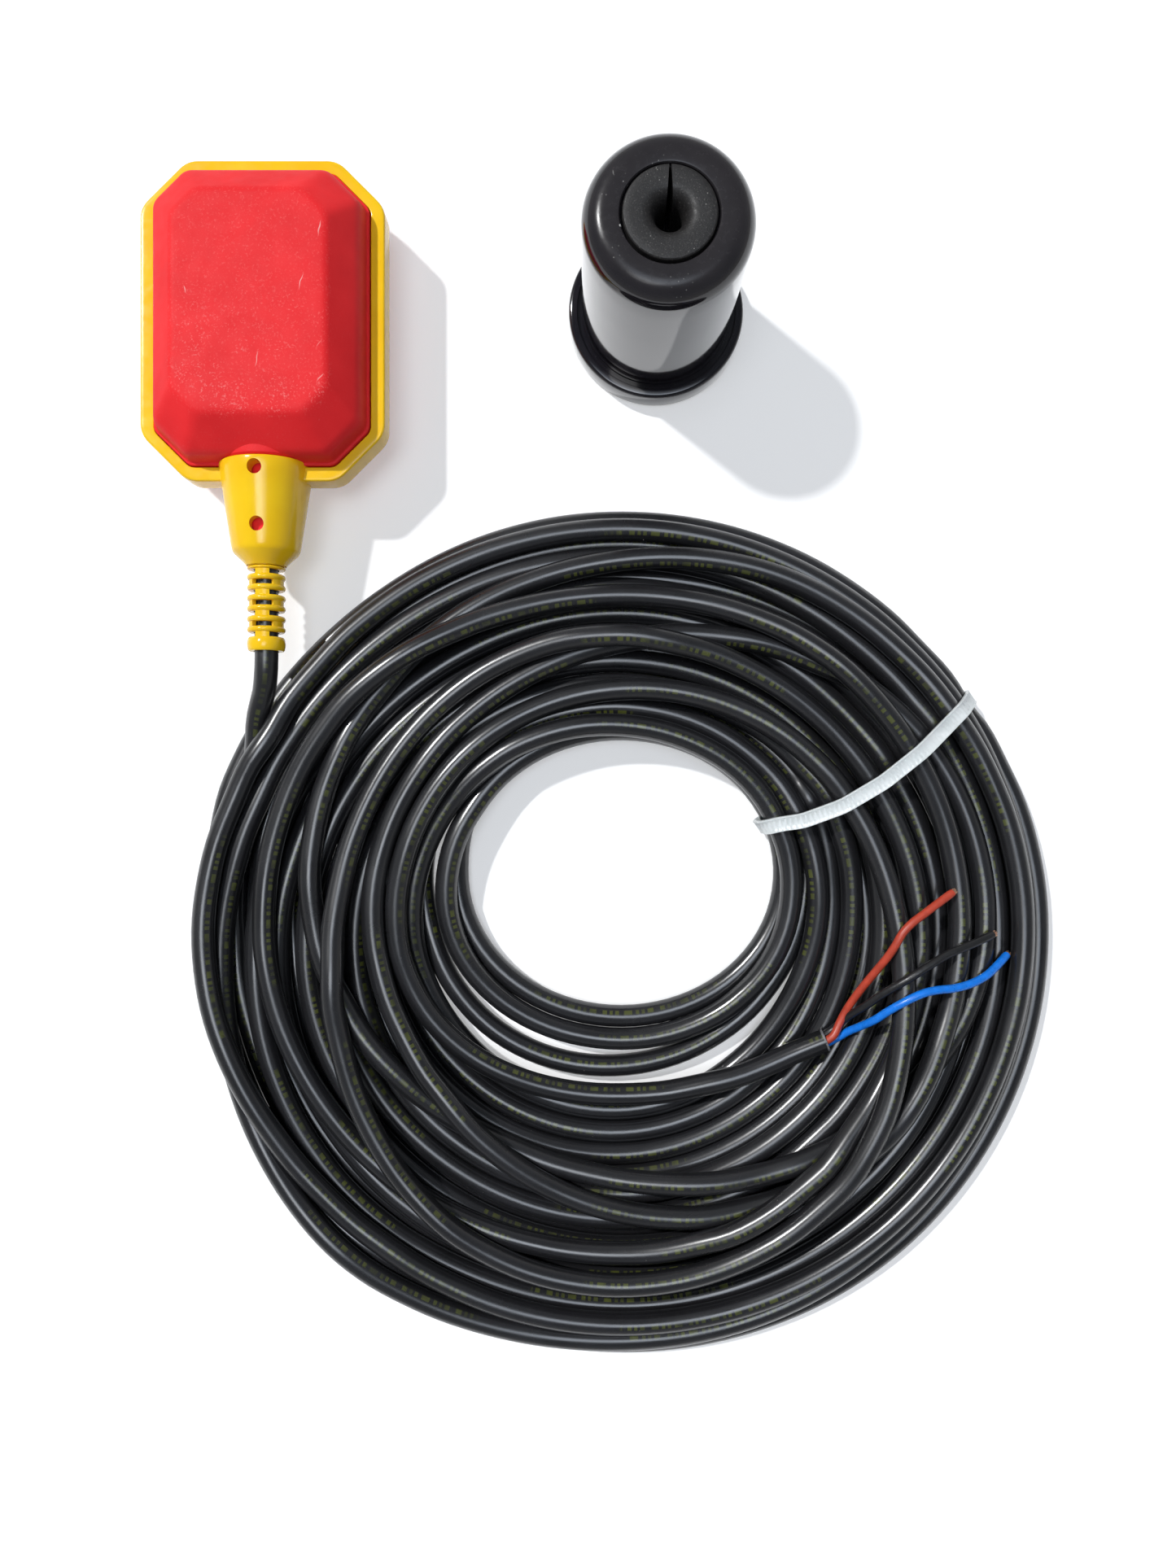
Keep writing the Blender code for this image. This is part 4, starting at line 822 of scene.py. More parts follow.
def weight_plastic_finish():
    """Black drum: polished sides, a duller dusty top with white flecks and nicks."""
    coat = {"Coat_IOR": 1.4, "Coat_Roughness": 0.05, "Specular_IOR_Level": 0.25}
    m = Finish("weight_plastic", (0.011, 0.010, 0.012), 0.12, **coat)
    height = m.parts(m.place)[2]
    top = m.spread(height, 0.0735, 0.0759)
    side = m.reckon("SUBTRACT", 1.0, top)
    body = m.mix(m.clouds(120.0, 3.0, 0.3, 0.7), (0.007, 0.006, 0.009), (0.013, 0.011, 0.014))
    body = m.mix(m.times(top, 0.5), body, (0.040, 0.037, 0.038))
    dust = m.times(m.flecks(620.0, 0.13, 0.06, 110.0), 0.5)
    chips = m.flecks(120.0, 0.06, 0.10, 40.0)
    marks = m.times(m.scratches(35.0, 0.003, 0.0003, 0.0), 0.3)
    specks = m.most(m.most(dust, chips), marks)
    specks = m.times(specks, m.plus(0.1, m.times(top, 0.9)))
    dull = m.times(m.clouds(500.0, 3.0, 0.3, 0.7, 0.20, 0.30), top)
    polished = m.times(m.clouds(60.0, 3.0, 0.3, 0.7, 0.08, 0.13), side)
    m.join(side, m.base["Coat Weight"])
    wave = m.bump(m.noise(45.0, 1.5), 0.0004, 0.4)
    grain = m.bump(m.noise(2400.0, 2.0), 0.00001, 0.3, Normal=wave)
    return m.done(m.mix(specks, body, (0.62, 0.61, 0.58)), m.plus(dull, polished), grain)


def weight_rubber_finish():
    """Matte rubber bush, peppered with pale grains."""
    m = Finish("weight_rubber", (0.02, 0.02, 0.02), 0.6, Specular_IOR_Level=0.4)
    grain = m.clouds(2200.0, 3.0, 0.56, 0.80, roughness=0.7)
    body = m.mix(grain, (0.012, 0.011, 0.011), (0.10, 0.094, 0.088))
    pepper = m.times(m.flecks(800.0, 0.16, 0.08, 200.0), 0.6)
    gloss = m.clouds(800.0, 3.0, 0.3, 0.7, 0.42, 0.62)
    rough = m.bump(m.noise(1800.0, 3.0), 0.00010, 0.6)
    return m.done(m.mix(pepper, body, (0.42, 0.41, 0.38)), gloss, rough)


def moulded(name, colour, roughness, grain=0.00003, scale=2500.0, mottle=0.12):
    """A part seen only when the float is open: cloudy colour, grain, uneven gloss."""
    m = Finish(name, colour, roughness)
    clouds = m.noise(160.0, 4.0)
    dark = tuple(part * (1.0 - mottle) for part in colour)
    tone = m.mix(m.spread(clouds, 0.35, 0.65), dark, colour)
    gloss = m.spread(clouds, 0.3, 0.7, roughness - 0.04, roughness + 0.06)
    return m.done(tone, gloss, m.bump(m.noise(scale, 2.0), grain, 0.6))


def metal(name, colour, roughness, scale=900.0):
    """Bright or dull metal with a fine grain."""
    m = Finish(name, colour, roughness, Metallic=1.0)
    grain = m.noise(scale, 3.0)
    dark = tuple(part * 0.7 for part in colour)
    tone = m.mix(m.spread(grain, 0.3, 0.7), dark, colour)
    gloss = m.spread(grain, 0.3, 0.7, roughness - 0.06, roughness + 0.08)
    return m.done(tone, gloss, m.bump(grain, 0.00002, 0.5))


RED_SHELL = red_shell_finish()
YELLOW = yellow_finish()
JACKET = jacket_finish()
CUT_EDGE = moulded("cut_edge", (0.20, 0.20, 0.21), 0.6, 0.0001, 1600.0, 0.4)
BROWN_CORE = core_finish("brown_core", (0.50, 0.058, 0.028))
BLACK_CORE = core_finish("black_core", (0.014, 0.014, 0.015), 0.32)
BLUE_CORE = core_finish("blue_core", (0.006, 0.20, 0.80), 0.28)
COPPER = metal("copper_ends", (0.86, 0.52, 0.36), 0.28, 3000.0)
NYLON = nylon_finish()
WEIGHT_PLASTIC = weight_plastic_finish()
WEIGHT_RUBBER = weight_rubber_finish()
CARRIER = moulded("carrier_plastic", (0.72, 0.72, 0.7), 0.5)
SEAL = moulded("seal_rubber", (0.028, 0.028, 0.028), 0.6, 0.00008, 1500.0, 0.3)
RESIN = moulded("cast_resin", (0.1, 0.1, 0.11), 0.2, 0.00002, 400.0, 0.3)
STEEL = metal("bright_steel", (0.6, 0.6, 0.6), 0.2)
SWITCH_CASE = moulded("switch_case", (0.02, 0.02, 0.022), 0.45)
PLUNGER = moulded("plunger_plastic", (0.76, 0.022, 0.024), 0.25)
TERMINAL = metal("tinned_brass", (0.72, 0.6, 0.36), 0.28)
IRON = metal("cast_iron", (0.16, 0.15, 0.14), 0.55, 500.0)


# The cable and its cores


def cable_jacket():
    """The whole cable as one tube round the settled route."""
    grid, marks = round_tube(CABLE_PATH, CABLE_RADIUS, 16)
    return surface("cable", [skin(grid)], JACKET, 60.0, [marks])


def jacket_cut():
    """The cut end of the jacket: a thin ring round the cable's last millimetre.

    Its section is a closed loop of radius and distance past the end.
    """
    along, across, up = line_frame(CABLE_PATH)
    section = np.array(
        [
            (0.00372, -0.0006),
            (0.00386, -0.0004),
            (0.00384, 0.0001),
            (0.00362, 0.00022),
            (0.0030, 0.00018),
            (0.00285, -0.0002),
            (0.0028, -0.0006),
        ]
    )
    turn = circle(32)
    radius = section[:, 0] * (1 + 0.02 * np.sin(3 * turn + 0.4))[:, None]
    outwards = ring(across[-1], up[-1], turn)[:, None] * radius[..., None]
    grid = CABLE_PATH[-1] + outwards + along[-1] * section[:, 1, None]
    return surface("jacket_cut", [skin(grid, along=True)], CUT_EDGE)


# Where each core runs in plan after it leaves the jacket
CORES = {
    "brown": (
        (0.1933, -0.2200),
        (0.2027, -0.2049),
        (0.2073, -0.1966),
        (0.2138, -0.1913),
        (0.2235, -0.1845),
    ),
    "black": (
        (0.1950, -0.2230),
        (0.2040, -0.2150),
        (0.2194, -0.2052),
        (0.2287, -0.2016),
        (0.2371, -0.1984),
    ),
    "blue": (
        (0.1952, -0.2292),
        (0.2045, -0.2210),
        (0.2138, -0.2163),
        (0.2250, -0.2150),
        (0.2343, -0.2120),
        (0.2436, -0.2059),
    ),
}


def core_route(name, turn):
    """A bare core from the cable's end, resting on the turns that it crosses."""
    along, across, up = line_frame(CABLE_PATH)
    start = CABLE_PATH[-1] + 0.00165 * (across[-1] * math.cos(turn) + up[-1] * math.sin(turn))
    inside = start - along[-1] * 0.0008
    plan = np.array([inside[:2], (start + along[-1] * 0.002)[:2], *CORES[name]])
    line = smooth_line(np.column_stack([plan, np.full(len(plan), start[2])]), 0.0015)
    near = smooth_line(ROUTE, 0.0018)
    near = near[np.linalg.norm(near[:, :2] - plan.mean(axis=0), axis=1) < 0.045]
    near = near[np.linalg.norm(near - CABLE_PATH[-1], axis=1) > 0.006]
    level = rest_on(line, near, CORE_RADIUS, 0.0002)
    resting = eased(np.clip(np.arange(len(line)) / 10.0 - 0.2, 0.0, 1.0))
    line[:, 2] = line[:, 2] * (1 - resting) + level * resting
    kept = np.append(np.arange(0, len(line) - 2, 3), len(line) - 1)
    return smooth_line(line[kept], 0.0012)


CORE_FINISHES = {"brown": BROWN_CORE, "black": BLACK_CORE, "blue": BLUE_CORE}


def core_strands(line, turn):
    """Nineteen fine strands at a core's end: one, six round it and twelve round those."""
    along, across, up = line_frame(line)
    strands = []
    for number in range(19):
        layer = 0 if number == 0 else (1 if number < 7 else 2)
        angle = 0.0 if layer == 0 else 2 * math.pi * number / (6 * layer)
        outwards = across[-1] * math.cos(angle) + up[-1] * math.sin(angle)
        middle = line[-1] + STRAND_STEP * layer * outwards
        reach = 0.0009 + 0.00025 * math.sin(2.3 * number + turn)
        path = middle + along[-1] * np.linspace(-0.0006, reach, 3)[:, None]
        strands.append(skin(round_tube(path, STRAND_RADIUS, 6)[0]))
    return strands


def core_pieces():
    """The brown, black and blue cores, each with its copper strands showing at the end."""
    made = []
    for number, (name, material) in enumerate(CORE_FINISHES.items()):
        turn = math.radians(90 + 120 * number)
        line = core_route(name, turn)
        radius = np.full(len(line), CORE_RADIUS)
        radius[-1] -= 0.00015
        grid, marks = round_tube(line, radius, 14)
        core = surface(f"{name}_core", [skin(grid)], material, 60.0, [marks])
        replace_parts(core, f"tail_core_{name}")
        made += [core, surface(f"{name}_strands", core_strands(line, turn), COPPER)]
    return made


CABLE = cable_jacket()
CUT = jacket_cut()
CORE_PIECES = core_pieces()
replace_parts(CABLE, "cable_lead", "cable_coil", "cable_tail")


# The cable tie round one side of the coil


def hull_round(points):
    """The tight outline round points in a plane, anticlockwise, by the chain of right turns."""
    points = points[np.lexsort((points[:, 1], points[:, 0]))]

    def chain(ordered):
        kept = []
        for point in ordered:
            while len(kept) > 1:
                a, b = kept[-2], kept[-1]
                if (b[0] - a[0]) * (point[1] - a[1]) - (b[1] - a[1]) * (point[0] - a[0]) > 0:
                    break
                kept.pop()
            kept.append(point)
        return kept[:-1]

    return np.array(chain(points) + chain(points[::-1]))


def crossings(line, over, shift):
    """Distance from the coil's middle and height of each turn where the tie's line meets it."""
    off = line[:, :2] - COIL_CENTRE
    side = off @ TIE_SQUARE - tie_side(off @ TIE_SPOKE, over) - shift
    hit = np.nonzero((side[:-1] * side[1:] < 0) & (off[:-1] @ TIE_SPOKE > 0))[0]
    share = (side[hit] / (side[hit] - side[hit + 1]))[:, None]
    met = line[hit] * (1 - share) + line[hit + 1] * share
    return np.column_stack([(met[:, :2] - COIL_CENTRE) @ TIE_SPOKE, met[:, 2]])


def blurred(loop, rounds):
    """A closed loop of values, each drawn to its neighbours for some rounds."""
    for _ in range(rounds):
        loop = (np.roll(loop, 1, axis=0) + 2 * loop + np.roll(loop, -1, axis=0)) / 4
    return loop


# The strap's section as shares of half its width and thickness: a flat underside,
# then raised rims on both sides of the ribs
STRAP_SECTION = np.array(
    [
        *[(-1, -0.7), (-0.93, -1), (-0.5, -1), (0, -1), (0.5, -1), (0.93, -1), (1, -0.7)],
        *[(1, 0.7), (0.96, 1.25), (0.8, 1.3), (0.68, 0.8), (0, 0.85)],
        *[(-0.68, 0.8), (-0.8, 1.3), (-0.96, 1.25), (-1, 0.7)],
    ]
)


def strap_line():
    """The strap's closed line in distance and height: the tight outline round the turns."""
    shifts = (-0.0018, 0.0, 0.0018)
    middles = np.concatenate([crossings(ROUTE, over, shift) for over in (True, False) for shift in shifts])
    reach = CABLE_RADIUS + FIT_GAP + TIE_THICKNESS / 2
    round_it = np.column_stack([np.cos(circle(24)), np.sin(circle(24))]) * reach
    outline = hull_round((middles[:, None] + round_it[None]).reshape(-1, 2))
    outline[:, 1] = np.maximum(outline[:, 1], FIT_GAP + TIE_THICKNESS / 2)
    return blurred(even_line(np.concatenate([outline, outline[:1]]), TIE_STEP)[:-1], 14)


def tie_strap():
    """A ribbed strap pulled round all the turns that cross its spoke.

    Its line is the tight outline round the turns' circles, bowed sideways in plan, and
    its section a flat bar with raised rims and a sine for its ribs, one every 1.6 mm.
    """
    section = STRAP_SECTION
    line = strap_line()
    tangent = np.roll(line, -1, axis=0) - np.roll(line, 1, axis=0)
    tangent /= np.linalg.norm(tangent, axis=1)[:, None]
    outward = np.column_stack([tangent[:, 1], -tangent[:, 0]])
    distance = np.arange(len(line)) * TIE_STEP
    ribs = 1.0 + 0.22 * np.sin(2 * np.pi * distance / RIB_PITCH)
    ribbed = (section[:, 1] > 0) & (np.abs(section[:, 0]) < 0.7)
    thick = np.where(ribbed, ribs[:, None], 1.0) * section[:, 1] * TIE_THICKNESS / 2
    flat = line[:, None] + outward[:, None] * thick[..., None]
    middle = (line[:, 1].max() + line[:, 1].min()) / 2
    share = np.clip((line[:, 1] - middle) / 0.004 + 0.5, 0.0, 1.0)
    bow = tie_side(line[:, 0], True) * share + tie_side(line[:, 0], False) * (1 - share)
    bow = blurred(bow, 30)
    slope = (np.roll(bow, -1) - np.roll(bow, 1)) / (2 * TIE_STEP)
    wide = section[:, 0] * TIE_WIDTH / 2
    level = np.abs(tangent[:, 0]) ** 2
    lean = slope * level / (1 + slope**2)
    out = flat[..., 0] + lean[:, None] * wide
    wide = bow[:, None] + wide / np.sqrt(1 + (slope[:, None] * level[:, None]) ** 2)
    plan = (COIL_CENTRE[axis] + out * TIE_SPOKE[axis] + wide * TIE_SQUARE[axis] for axis in (0, 1))
    grid = grid_of(*plan, flat[..., 1])
    marks = grid_of(distance[:, None], section[:, 0], 0.0).reshape(-1, 3)
    return surface("tie_strap", [skin(grid, along=True)], NYLON, 50.0, [marks])


def tie_head():
    """The tie's locking head, under the coil: a block with soft edges.

    Directions on a sphere are moved out towards the cube round it by dividing them by
    their largest part to the power 0.88, and are stretched to the block's sizes.
    """
    latitude = np.linspace(-np.pi / 2, np.pi / 2, 25)[1:-1, None]
    longitude = circle(40)
    level = np.cos(latitude)
    direction = grid_of(level * np.cos(longitude), level * np.sin(longitude), np.sin(latitude))
    direction /= np.abs(direction).max(axis=-1, keepdims=True) ** (1 - TIE_HEAD_SOFTNESS)
    largest = np.maximum(1.0, np.abs(direction).max(axis=-1, keepdims=True))
    local = direction * np.array(TIE_HEAD_HALF) / largest
    plan = []
    for axis in (0, 1):
        centre = COIL_CENTRE[axis] + TIE_HEAD_PLACE * TIE_SPOKE[axis]
        plan.append(centre + local[..., 0] * TIE_SPOKE[axis] + local[..., 1] * TIE_SQUARE[axis])
    grid = grid_of(*plan, TIE_HEAD_HEIGHT + local[..., 2])
    surface("tie_head", [skin(grid)], NYLON)


STRAP = tie_strap()
tie_head()
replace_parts(STRAP, "cable_tie")


# Red float shells


def corner_curve(start, corner, end):
    """Seven points (1-t)^2 A + 2t(1-t) V + t^2 B from A to B, drawn towards the corner V."""
    t = np.linspace(0, 1, 7)[:, None]
    return (1 - t) ** 2 * start + 2 * t * (1 - t) * corner + t**2 * end


def octagon(half_x, half_y, cut, soft):
    """Eight-sided outlines with cut and rounded corners, one for each set of sizes.

    Each corner is a curve between two points that stand back from it on both sides.
    """
    half_x, half_y, cut, soft = (size[:, None] for size in (half_x, half_y, cut, soft))
    corners = []
    for number, (sx, sy) in enumerate(((1, 1), (-1, 1), (-1, -1), (1, -1))):
        pair = [
            np.concatenate([sx * half_x, sy * (half_y - cut)], axis=1),
            np.concatenate([sx * (half_x - cut), sy * half_y], axis=1),
        ]
        corners += pair if number % 2 == 0 else pair[::-1]
    corners = np.stack(corners, axis=1)
    before = np.roll(corners, 1, axis=1) - corners
    after = np.roll(corners, -1, axis=1) - corners
    before /= np.linalg.norm(before, axis=2, keepdims=True)
    after /= np.linalg.norm(after, axis=2, keepdims=True)
    back = soft[:, :, None]
    start = (corners + before * back)[:, :, None]
    end = (corners + after * back)[:, :, None]
    return corner_curve(start, corners[:, :, None], end).reshape(len(half_x), -1, 2)


def softened(stations, rounding):
    """A chain of stations with each inner one turned into a short smooth curve."""
    stations = np.asarray(stations, float)
    out = [stations[:1]]
    for before, point, after, size in zip(stations, stations[1:], stations[2:], rounding[1:]):
        if size == 0:
            out.append(point[None])
            continue
        back = before - point
        ahead = after - point
        a = point + back * min(size / np.linalg.norm(back[[0, 4]]), 0.48)
        b = point + ahead * min(size / np.linalg.norm(ahead[[0, 4]]), 0.48)
        out.append(corner_curve(a, point, b))
    return np.concatenate([*out, stations[-1:]])


def grown(outline, by, soft, height):
    """An outline's sizes moved outwards by a distance, its corner cuts with it."""
    return (outline[0] + by, outline[1] + by, outline[2] + by * (2 - math.sqrt(2)), soft, height)


def octagon_grid(stations, side):
    """Rows of outlines at their heights above or below the middle plane."""
    loops = octagon(*stations[:, :4].T)
    height = (MID_HEIGHT + side * stations[:, 4])[:, None]
    grid = grid_of(loops[..., 0], loops[..., 1], height)
    return grid if side > 0 else grid[:, ::-1]


def shell_stations():
    """Sizes and heights from the inner hollow's middle over the rim to the facet's middle."""
    edge = FIT_GAP / 2
    wall = SHELL_WALL
    inner = [
        (0.004, 0.014, 0.0013, 0.0004, 0.0215 - wall),
        grown(FACET, -wall * 0.4, 0.0015, 0.0215 - wall),
        grown(BODY, -SHOULDER_INSET - wall, 0.0015, SHOULDER_HEIGHT - wall * 0.5),
        grown(BODY, -wall, 0.0015, edge),
        grown(BODY, FLANGE_REACH, 0.002, edge),
        grown(BODY, FLANGE_REACH, 0.002, FLANGE_HEIGHT),
        grown(BODY, 0.0, 0.0018, FLANGE_HEIGHT),
        grown(BODY, 0.0, 0.0018, LEDGE_HEIGHT),
        grown(BODY, -LEDGE_WIDTH, 0.0018, LEDGE_HEIGHT + 0.0002),
        grown(BODY, -SHOULDER_INSET, 0.0022, SHOULDER_HEIGHT),
        grown(FACET, 0.0003, 0.0026, 0.0215),
        grown(FACET, -0.003, 0.0018, 0.0215),
    ]
    rounding = [0, 0.002, 0.002, 0.001, 0.0004, 0.0004, 0.0005, 0.0003, 0.0004, 0.0022, 0.0017, 0]
    return softened(inner, rounding)


def half_neck(side):
    """Half of the round neck: an arch of wall between two radii, carried along Y."""
    turn = np.linspace(0, np.pi, 25)
    arches = ((NECK_RADIUS, turn), (NECK_BORE_RADIUS, turn[::-1]))
    loop = np.concatenate([np.column_stack([r * np.cos(a), r * np.sin(a)]) for r, a in arches])
    loop[:, 1] = np.maximum(loop[:, 1], FIT_GAP / 2)
    places = -np.array([NECK_START, NECK_START + 0.0014, NECK_REACH - 0.0004, NECK_REACH])
    grid = grid_of(loop[:, 0], places[:, None], MID_HEIGHT + side * loop[:, 1])
    return grid if side < 0 else grid[:, ::-1]


def half_boss(side):
    """Half of the round boss between the shell's end slope and the gland's rim.

    A dome turned round the cable's axis: radius and place along Y go round a corner.
    """
    outside = [(0.0146, 0.0396), (0.0146, 0.0440), (0.0144, 0.0448), (0.0138, 0.0453)]
    profile = [(0.0090, 0.0396), *outside, (0.0090, 0.0454)]
    across, place, up = swept(profile, np.linspace(0, np.pi, 41)[:, None])
    grid = grid_of(across, -place, MID_HEIGHT + side * np.maximum(up, FIT_GAP / 2))
    return grid if side > 0 else grid[:, ::-1]


for half, half_name in ((1, "float_shell_top"), (-1, "float_shell_bottom")):
    grids = (octagon_grid(shell_stations(), half), half_neck(half), half_boss(half))
    stand_in(half_name, [skin(grid) for grid in grids], RED_SHELL, 28.0)


# Yellow seam frame with the cable gland


def arc(centre, radius, start, end, steps):
    """Points on a circle's arc, angles in degrees."""
    turn = np.radians(np.linspace(start, end, steps))
    return [(centre[0] + radius * math.cos(a), centre[1] + radius * math.sin(a)) for a in turn]


def seam_frame():
    """The octagonal ring: its section is a closed loop of distance out and height."""
    gap = FIT_GAP
    top = FRAME_HALF
    stations = [
        grown(BODY, gap, 0.0018, top),
        grown(FRAME, -0.0015, 0.0032, top),
        grown(FRAME, 0.0, 0.0035, top),
        grown(FRAME, 0.0, 0.0035, 0.0),
        grown(FRAME, 0.0, 0.0035, -top),
        grown(FRAME, -0.0015, 0.0032, -top),
        grown(BODY, gap, 0.0018, -top),
        grown(BODY, gap, 0.0018, -FLANGE_HEIGHT - gap),
        grown(BODY, FLANGE_REACH + gap, 0.0018, -FLANGE_HEIGHT - gap),
        grown(BODY, FLANGE_REACH + gap, 0.0018, FLANGE_HEIGHT + gap),
        grown(BODY, gap, 0.0018, FLANGE_HEIGHT + gap),
        grown(BODY, gap, 0.0018, top - 0.0006),
    ]
    rounding = [0, 0.0004, 0, 0.0012, 0, 0.0012, 0, 0.0004, 0, 0, 0, 0, 0, 0]
    soft = softened([stations[-1], *stations, stations[0]], rounding)
    return octagon_grid(soft[1:-1], 1)


def gland_profile():
    """Radius and place along the outside of the gland cone, from its rim to its nose."""
    rim, cone, end = GLAND_RIM, GLAND_CONE_END, GLAND_END
    taper = [
        (GLAND_RADIUS - GLAND_TAPER * k / 8, rim + 0.0009 + (cone - rim - 0.0018) * k / 8)
        for k in range(1, 9)
    ]
    return [
        (0.0141, rim),
        (0.0146, rim + 0.0001),
        (0.0149, rim + 0.0004),
        (GLAND_RADIUS, rim + 0.0009),
        *taper,
        (0.01085, cone - 0.0003),
        (0.0106, cone + 0.0004),
        (0.0102, cone + 0.0010),
        (0.0070, end - 0.0009),
        (0.0066, end - 0.0004),
        (0.0063, end),
    ]


def plain_object(name, mesh):
    """A hidden helper object for a cut or a join."""
    thing = bpy.data.objects.new(name, mesh)
    bpy.context.scene.collection.objects.link(thing)
    return thing


def rod(start, end, radius, steps):
    """A plain rod between two points, for cutting."""
    path = np.array([start, end], float)
    along = (path[1] - path[0]) / np.linalg.norm(path[1] - path[0])
    side = np.cross(along, (1.0, 0.0, 0.0))
    side /= np.linalg.norm(side)
    return mesh_of("rod", [skin(path[:, None] + radius * ring(side, np.cross(along, side), circle(steps)))])


def joined_and_cut(name, whole, added, cutters):
    """One mesh: the first with the second joined on and the cutters taken away."""
    base = plain_object(name, whole)
    helpers = [plain_object(f"{name}_{k}", mesh) for k, mesh in enumerate([added, *cutters])]
    for k, helper in enumerate(helpers):
        step = base.modifiers.new(f"step_{k}", "BOOLEAN")
        step.operation = "UNION" if k == 0 else "DIFFERENCE"
        step.solver = "EXACT"
        step.object = helper
    graph = bpy.context.evaluated_depsgraph_get()
    made = bpy.data.meshes.new_from_object(base.evaluated_get(graph))
    made.name = name
    for helper in [base, *helpers]:
        used = helper.data
        bpy.data.objects.remove(helper)
        bpy.data.meshes.remove(used)
    return made


def frame_and_gland():
    """Frame ring and gland in one moulding, bored for the neck and with four holes."""
    octagonal = mesh_of("ring", [skin(seam_frame(), along=True)])
    cone = mesh_of("gland", [skin(turned_y(gland_profile(), circle(96)[:, None]).transpose(1, 0, 2))])
    bore = rod((0, -BORE_START, MID_HEIGHT), (0, -BORE_END, MID_HEIGHT), NECK_RADIUS + FIT_GAP, 64)
    seat = rod((0, -SEAT_START, MID_HEIGHT), (0, -SEAT_END, MID_HEIGHT), SEAT_RADIUS, 48)
    holes = []
    for step in GLAND_HOLE_STEPS:
        place = -(GLAND_RIM + step)
        holes.append(rod((0, place, 0.0), (0, place, 0.045), GLAND_HOLE_RADIUS, 40))
    made = joined_and_cut("frame_and_gland", octagonal, cone, [bore, seat, *holes])
    moulding = piece("frame_and_gland", made, YELLOW, 30.0)
    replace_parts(moulding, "frame_and_gland")


frame_and_gland()


# Slotted strain relief


def rib(start, end):
    """A ring of the relief: bore, soft ends and a slightly crowned outside."""
    edge = RIB_RADIUS - 0.0006
    t = np.linspace(0, 1, 7)
    crown = RIB_RADIUS - 0.0005 + 0.0005 * np.sin(math.pi * (0.12 + 0.76 * t))
    crown = np.column_stack([crown, start + (end - start) * (0.08 + 0.84 * t)])
    section = [(RELIEF_BORE, start), (edge, start), *crown, (edge, end), (RELIEF_BORE, end)]
    return skin(turned_y(section, circle(64)[:, None]), along=True)


def bar(start, end, middle, half):
    """A bar between two ribs: a bent block of wall over an arc of angles in degrees."""
    section = [(RELIEF_BORE, start), (BAR_RADIUS, start), (BAR_RADIUS, end), (RELIEF_BORE, end)]
    return skin(turned_y(section, np.radians(np.linspace(middle - half, middle + half, 16))[:, None]))


def strain_relief():
    """Ribs joined in turn by bars above and below, then by bars at the sides."""
    place = GLAND_END + FIT_GAP
    skins = [rib(place, place + 0.0010)]
    place += 0.0010
    upright = (math.degrees(math.asin(0.0023 / BAR_RADIUS)), (90, 270))
    level = (math.degrees(math.acos(0.0034 / BAR_RADIUS)), (0, 180))
    for row in range(7):
        half, middles = level if row % 2 else upright
        for middle in middles:
            skins.append(bar(place - 0.0004, place + RELIEF_SLOT + 0.0004, middle, half))
        place += RELIEF_SLOT
        wide = RELIEF_RIB if row < 6 else RELIEF_END - place
        skins.append(rib(place, place + wide))
        place += wide
    plug = [(RELIEF_BORE, 0.0727), (0.0060, 0.0727), (0.0060, 0.0786), (RELIEF_BORE, 0.0786)]
    skins.append(skin(turned_y(plug, circle(64)[:, None]), along=True))
    stand_in("strain_relief", skins, YELLOW, 34.0)


strain_relief()


# Counterweight: closed loops of radius and height, turned round its axis

SHELL_PROFILE = [
    (DRUM_RADIUS, 0.0096),
    (DRUM_RADIUS, 0.0200),
    *[(DRUM_RADIUS, z) for z in np.linspace(0.026, 0.062, 7)],
    *arc((DRUM_RADIUS - DRUM_ROUNDING, DRUM_HEIGHT - DRUM_ROUNDING), DRUM_ROUNDING, 0, 90, 12),
    *[(0.0150, DRUM_HEIGHT), (0.0145, 0.0759), (0.0142, 0.0755), (0.0141, 0.0740), (0.0138, 0.0738)],
    *[(0.0138, 0.0560), (0.0045, 0.0560), (0.0045, 0.0526)],
    *[(0.0229, 0.0526), (0.0229, 0.0093), (0.0247, 0.0093)],
]
BASE_PROFILE = [
    (0.0004, 0.0),
    (0.0286, 0.0),
    *arc((0.0286, 0.0009), 0.0009, -90, 0, 5),
    *arc((0.0283, 0.0078), 0.0012, 0, 90, 6),
    *[(0.0268, 0.0090), (0.0266, 0.0088), (0.0266, 0.0076), (0.0253, 0.0076), (0.0253, 0.0090)],
    *[(0.0225, 0.0090), (0.0225, 0.0114), (0.0004, 0.0114)],
]
BUSH_PROFILE = [
    *[(0.0039, 0.0563), (0.0039, 0.0640), (0.0039, 0.0690), (0.00395, 0.0705), (0.0041, 0.0719)],
    *[(0.0044, 0.0731), (0.0048, 0.0742), (0.0053, 0.0751), (0.0059, 0.0758), (0.0066, 0.0763)],
    *[(0.0074, 0.0766), (0.0084, 0.0767), (0.0110, 0.0767), (0.0127, 0.0767), (0.0131, 0.0766)],
    *[(0.0134, 0.0763), (0.0135, 0.0758), (0.0135, 0.0563)],
]


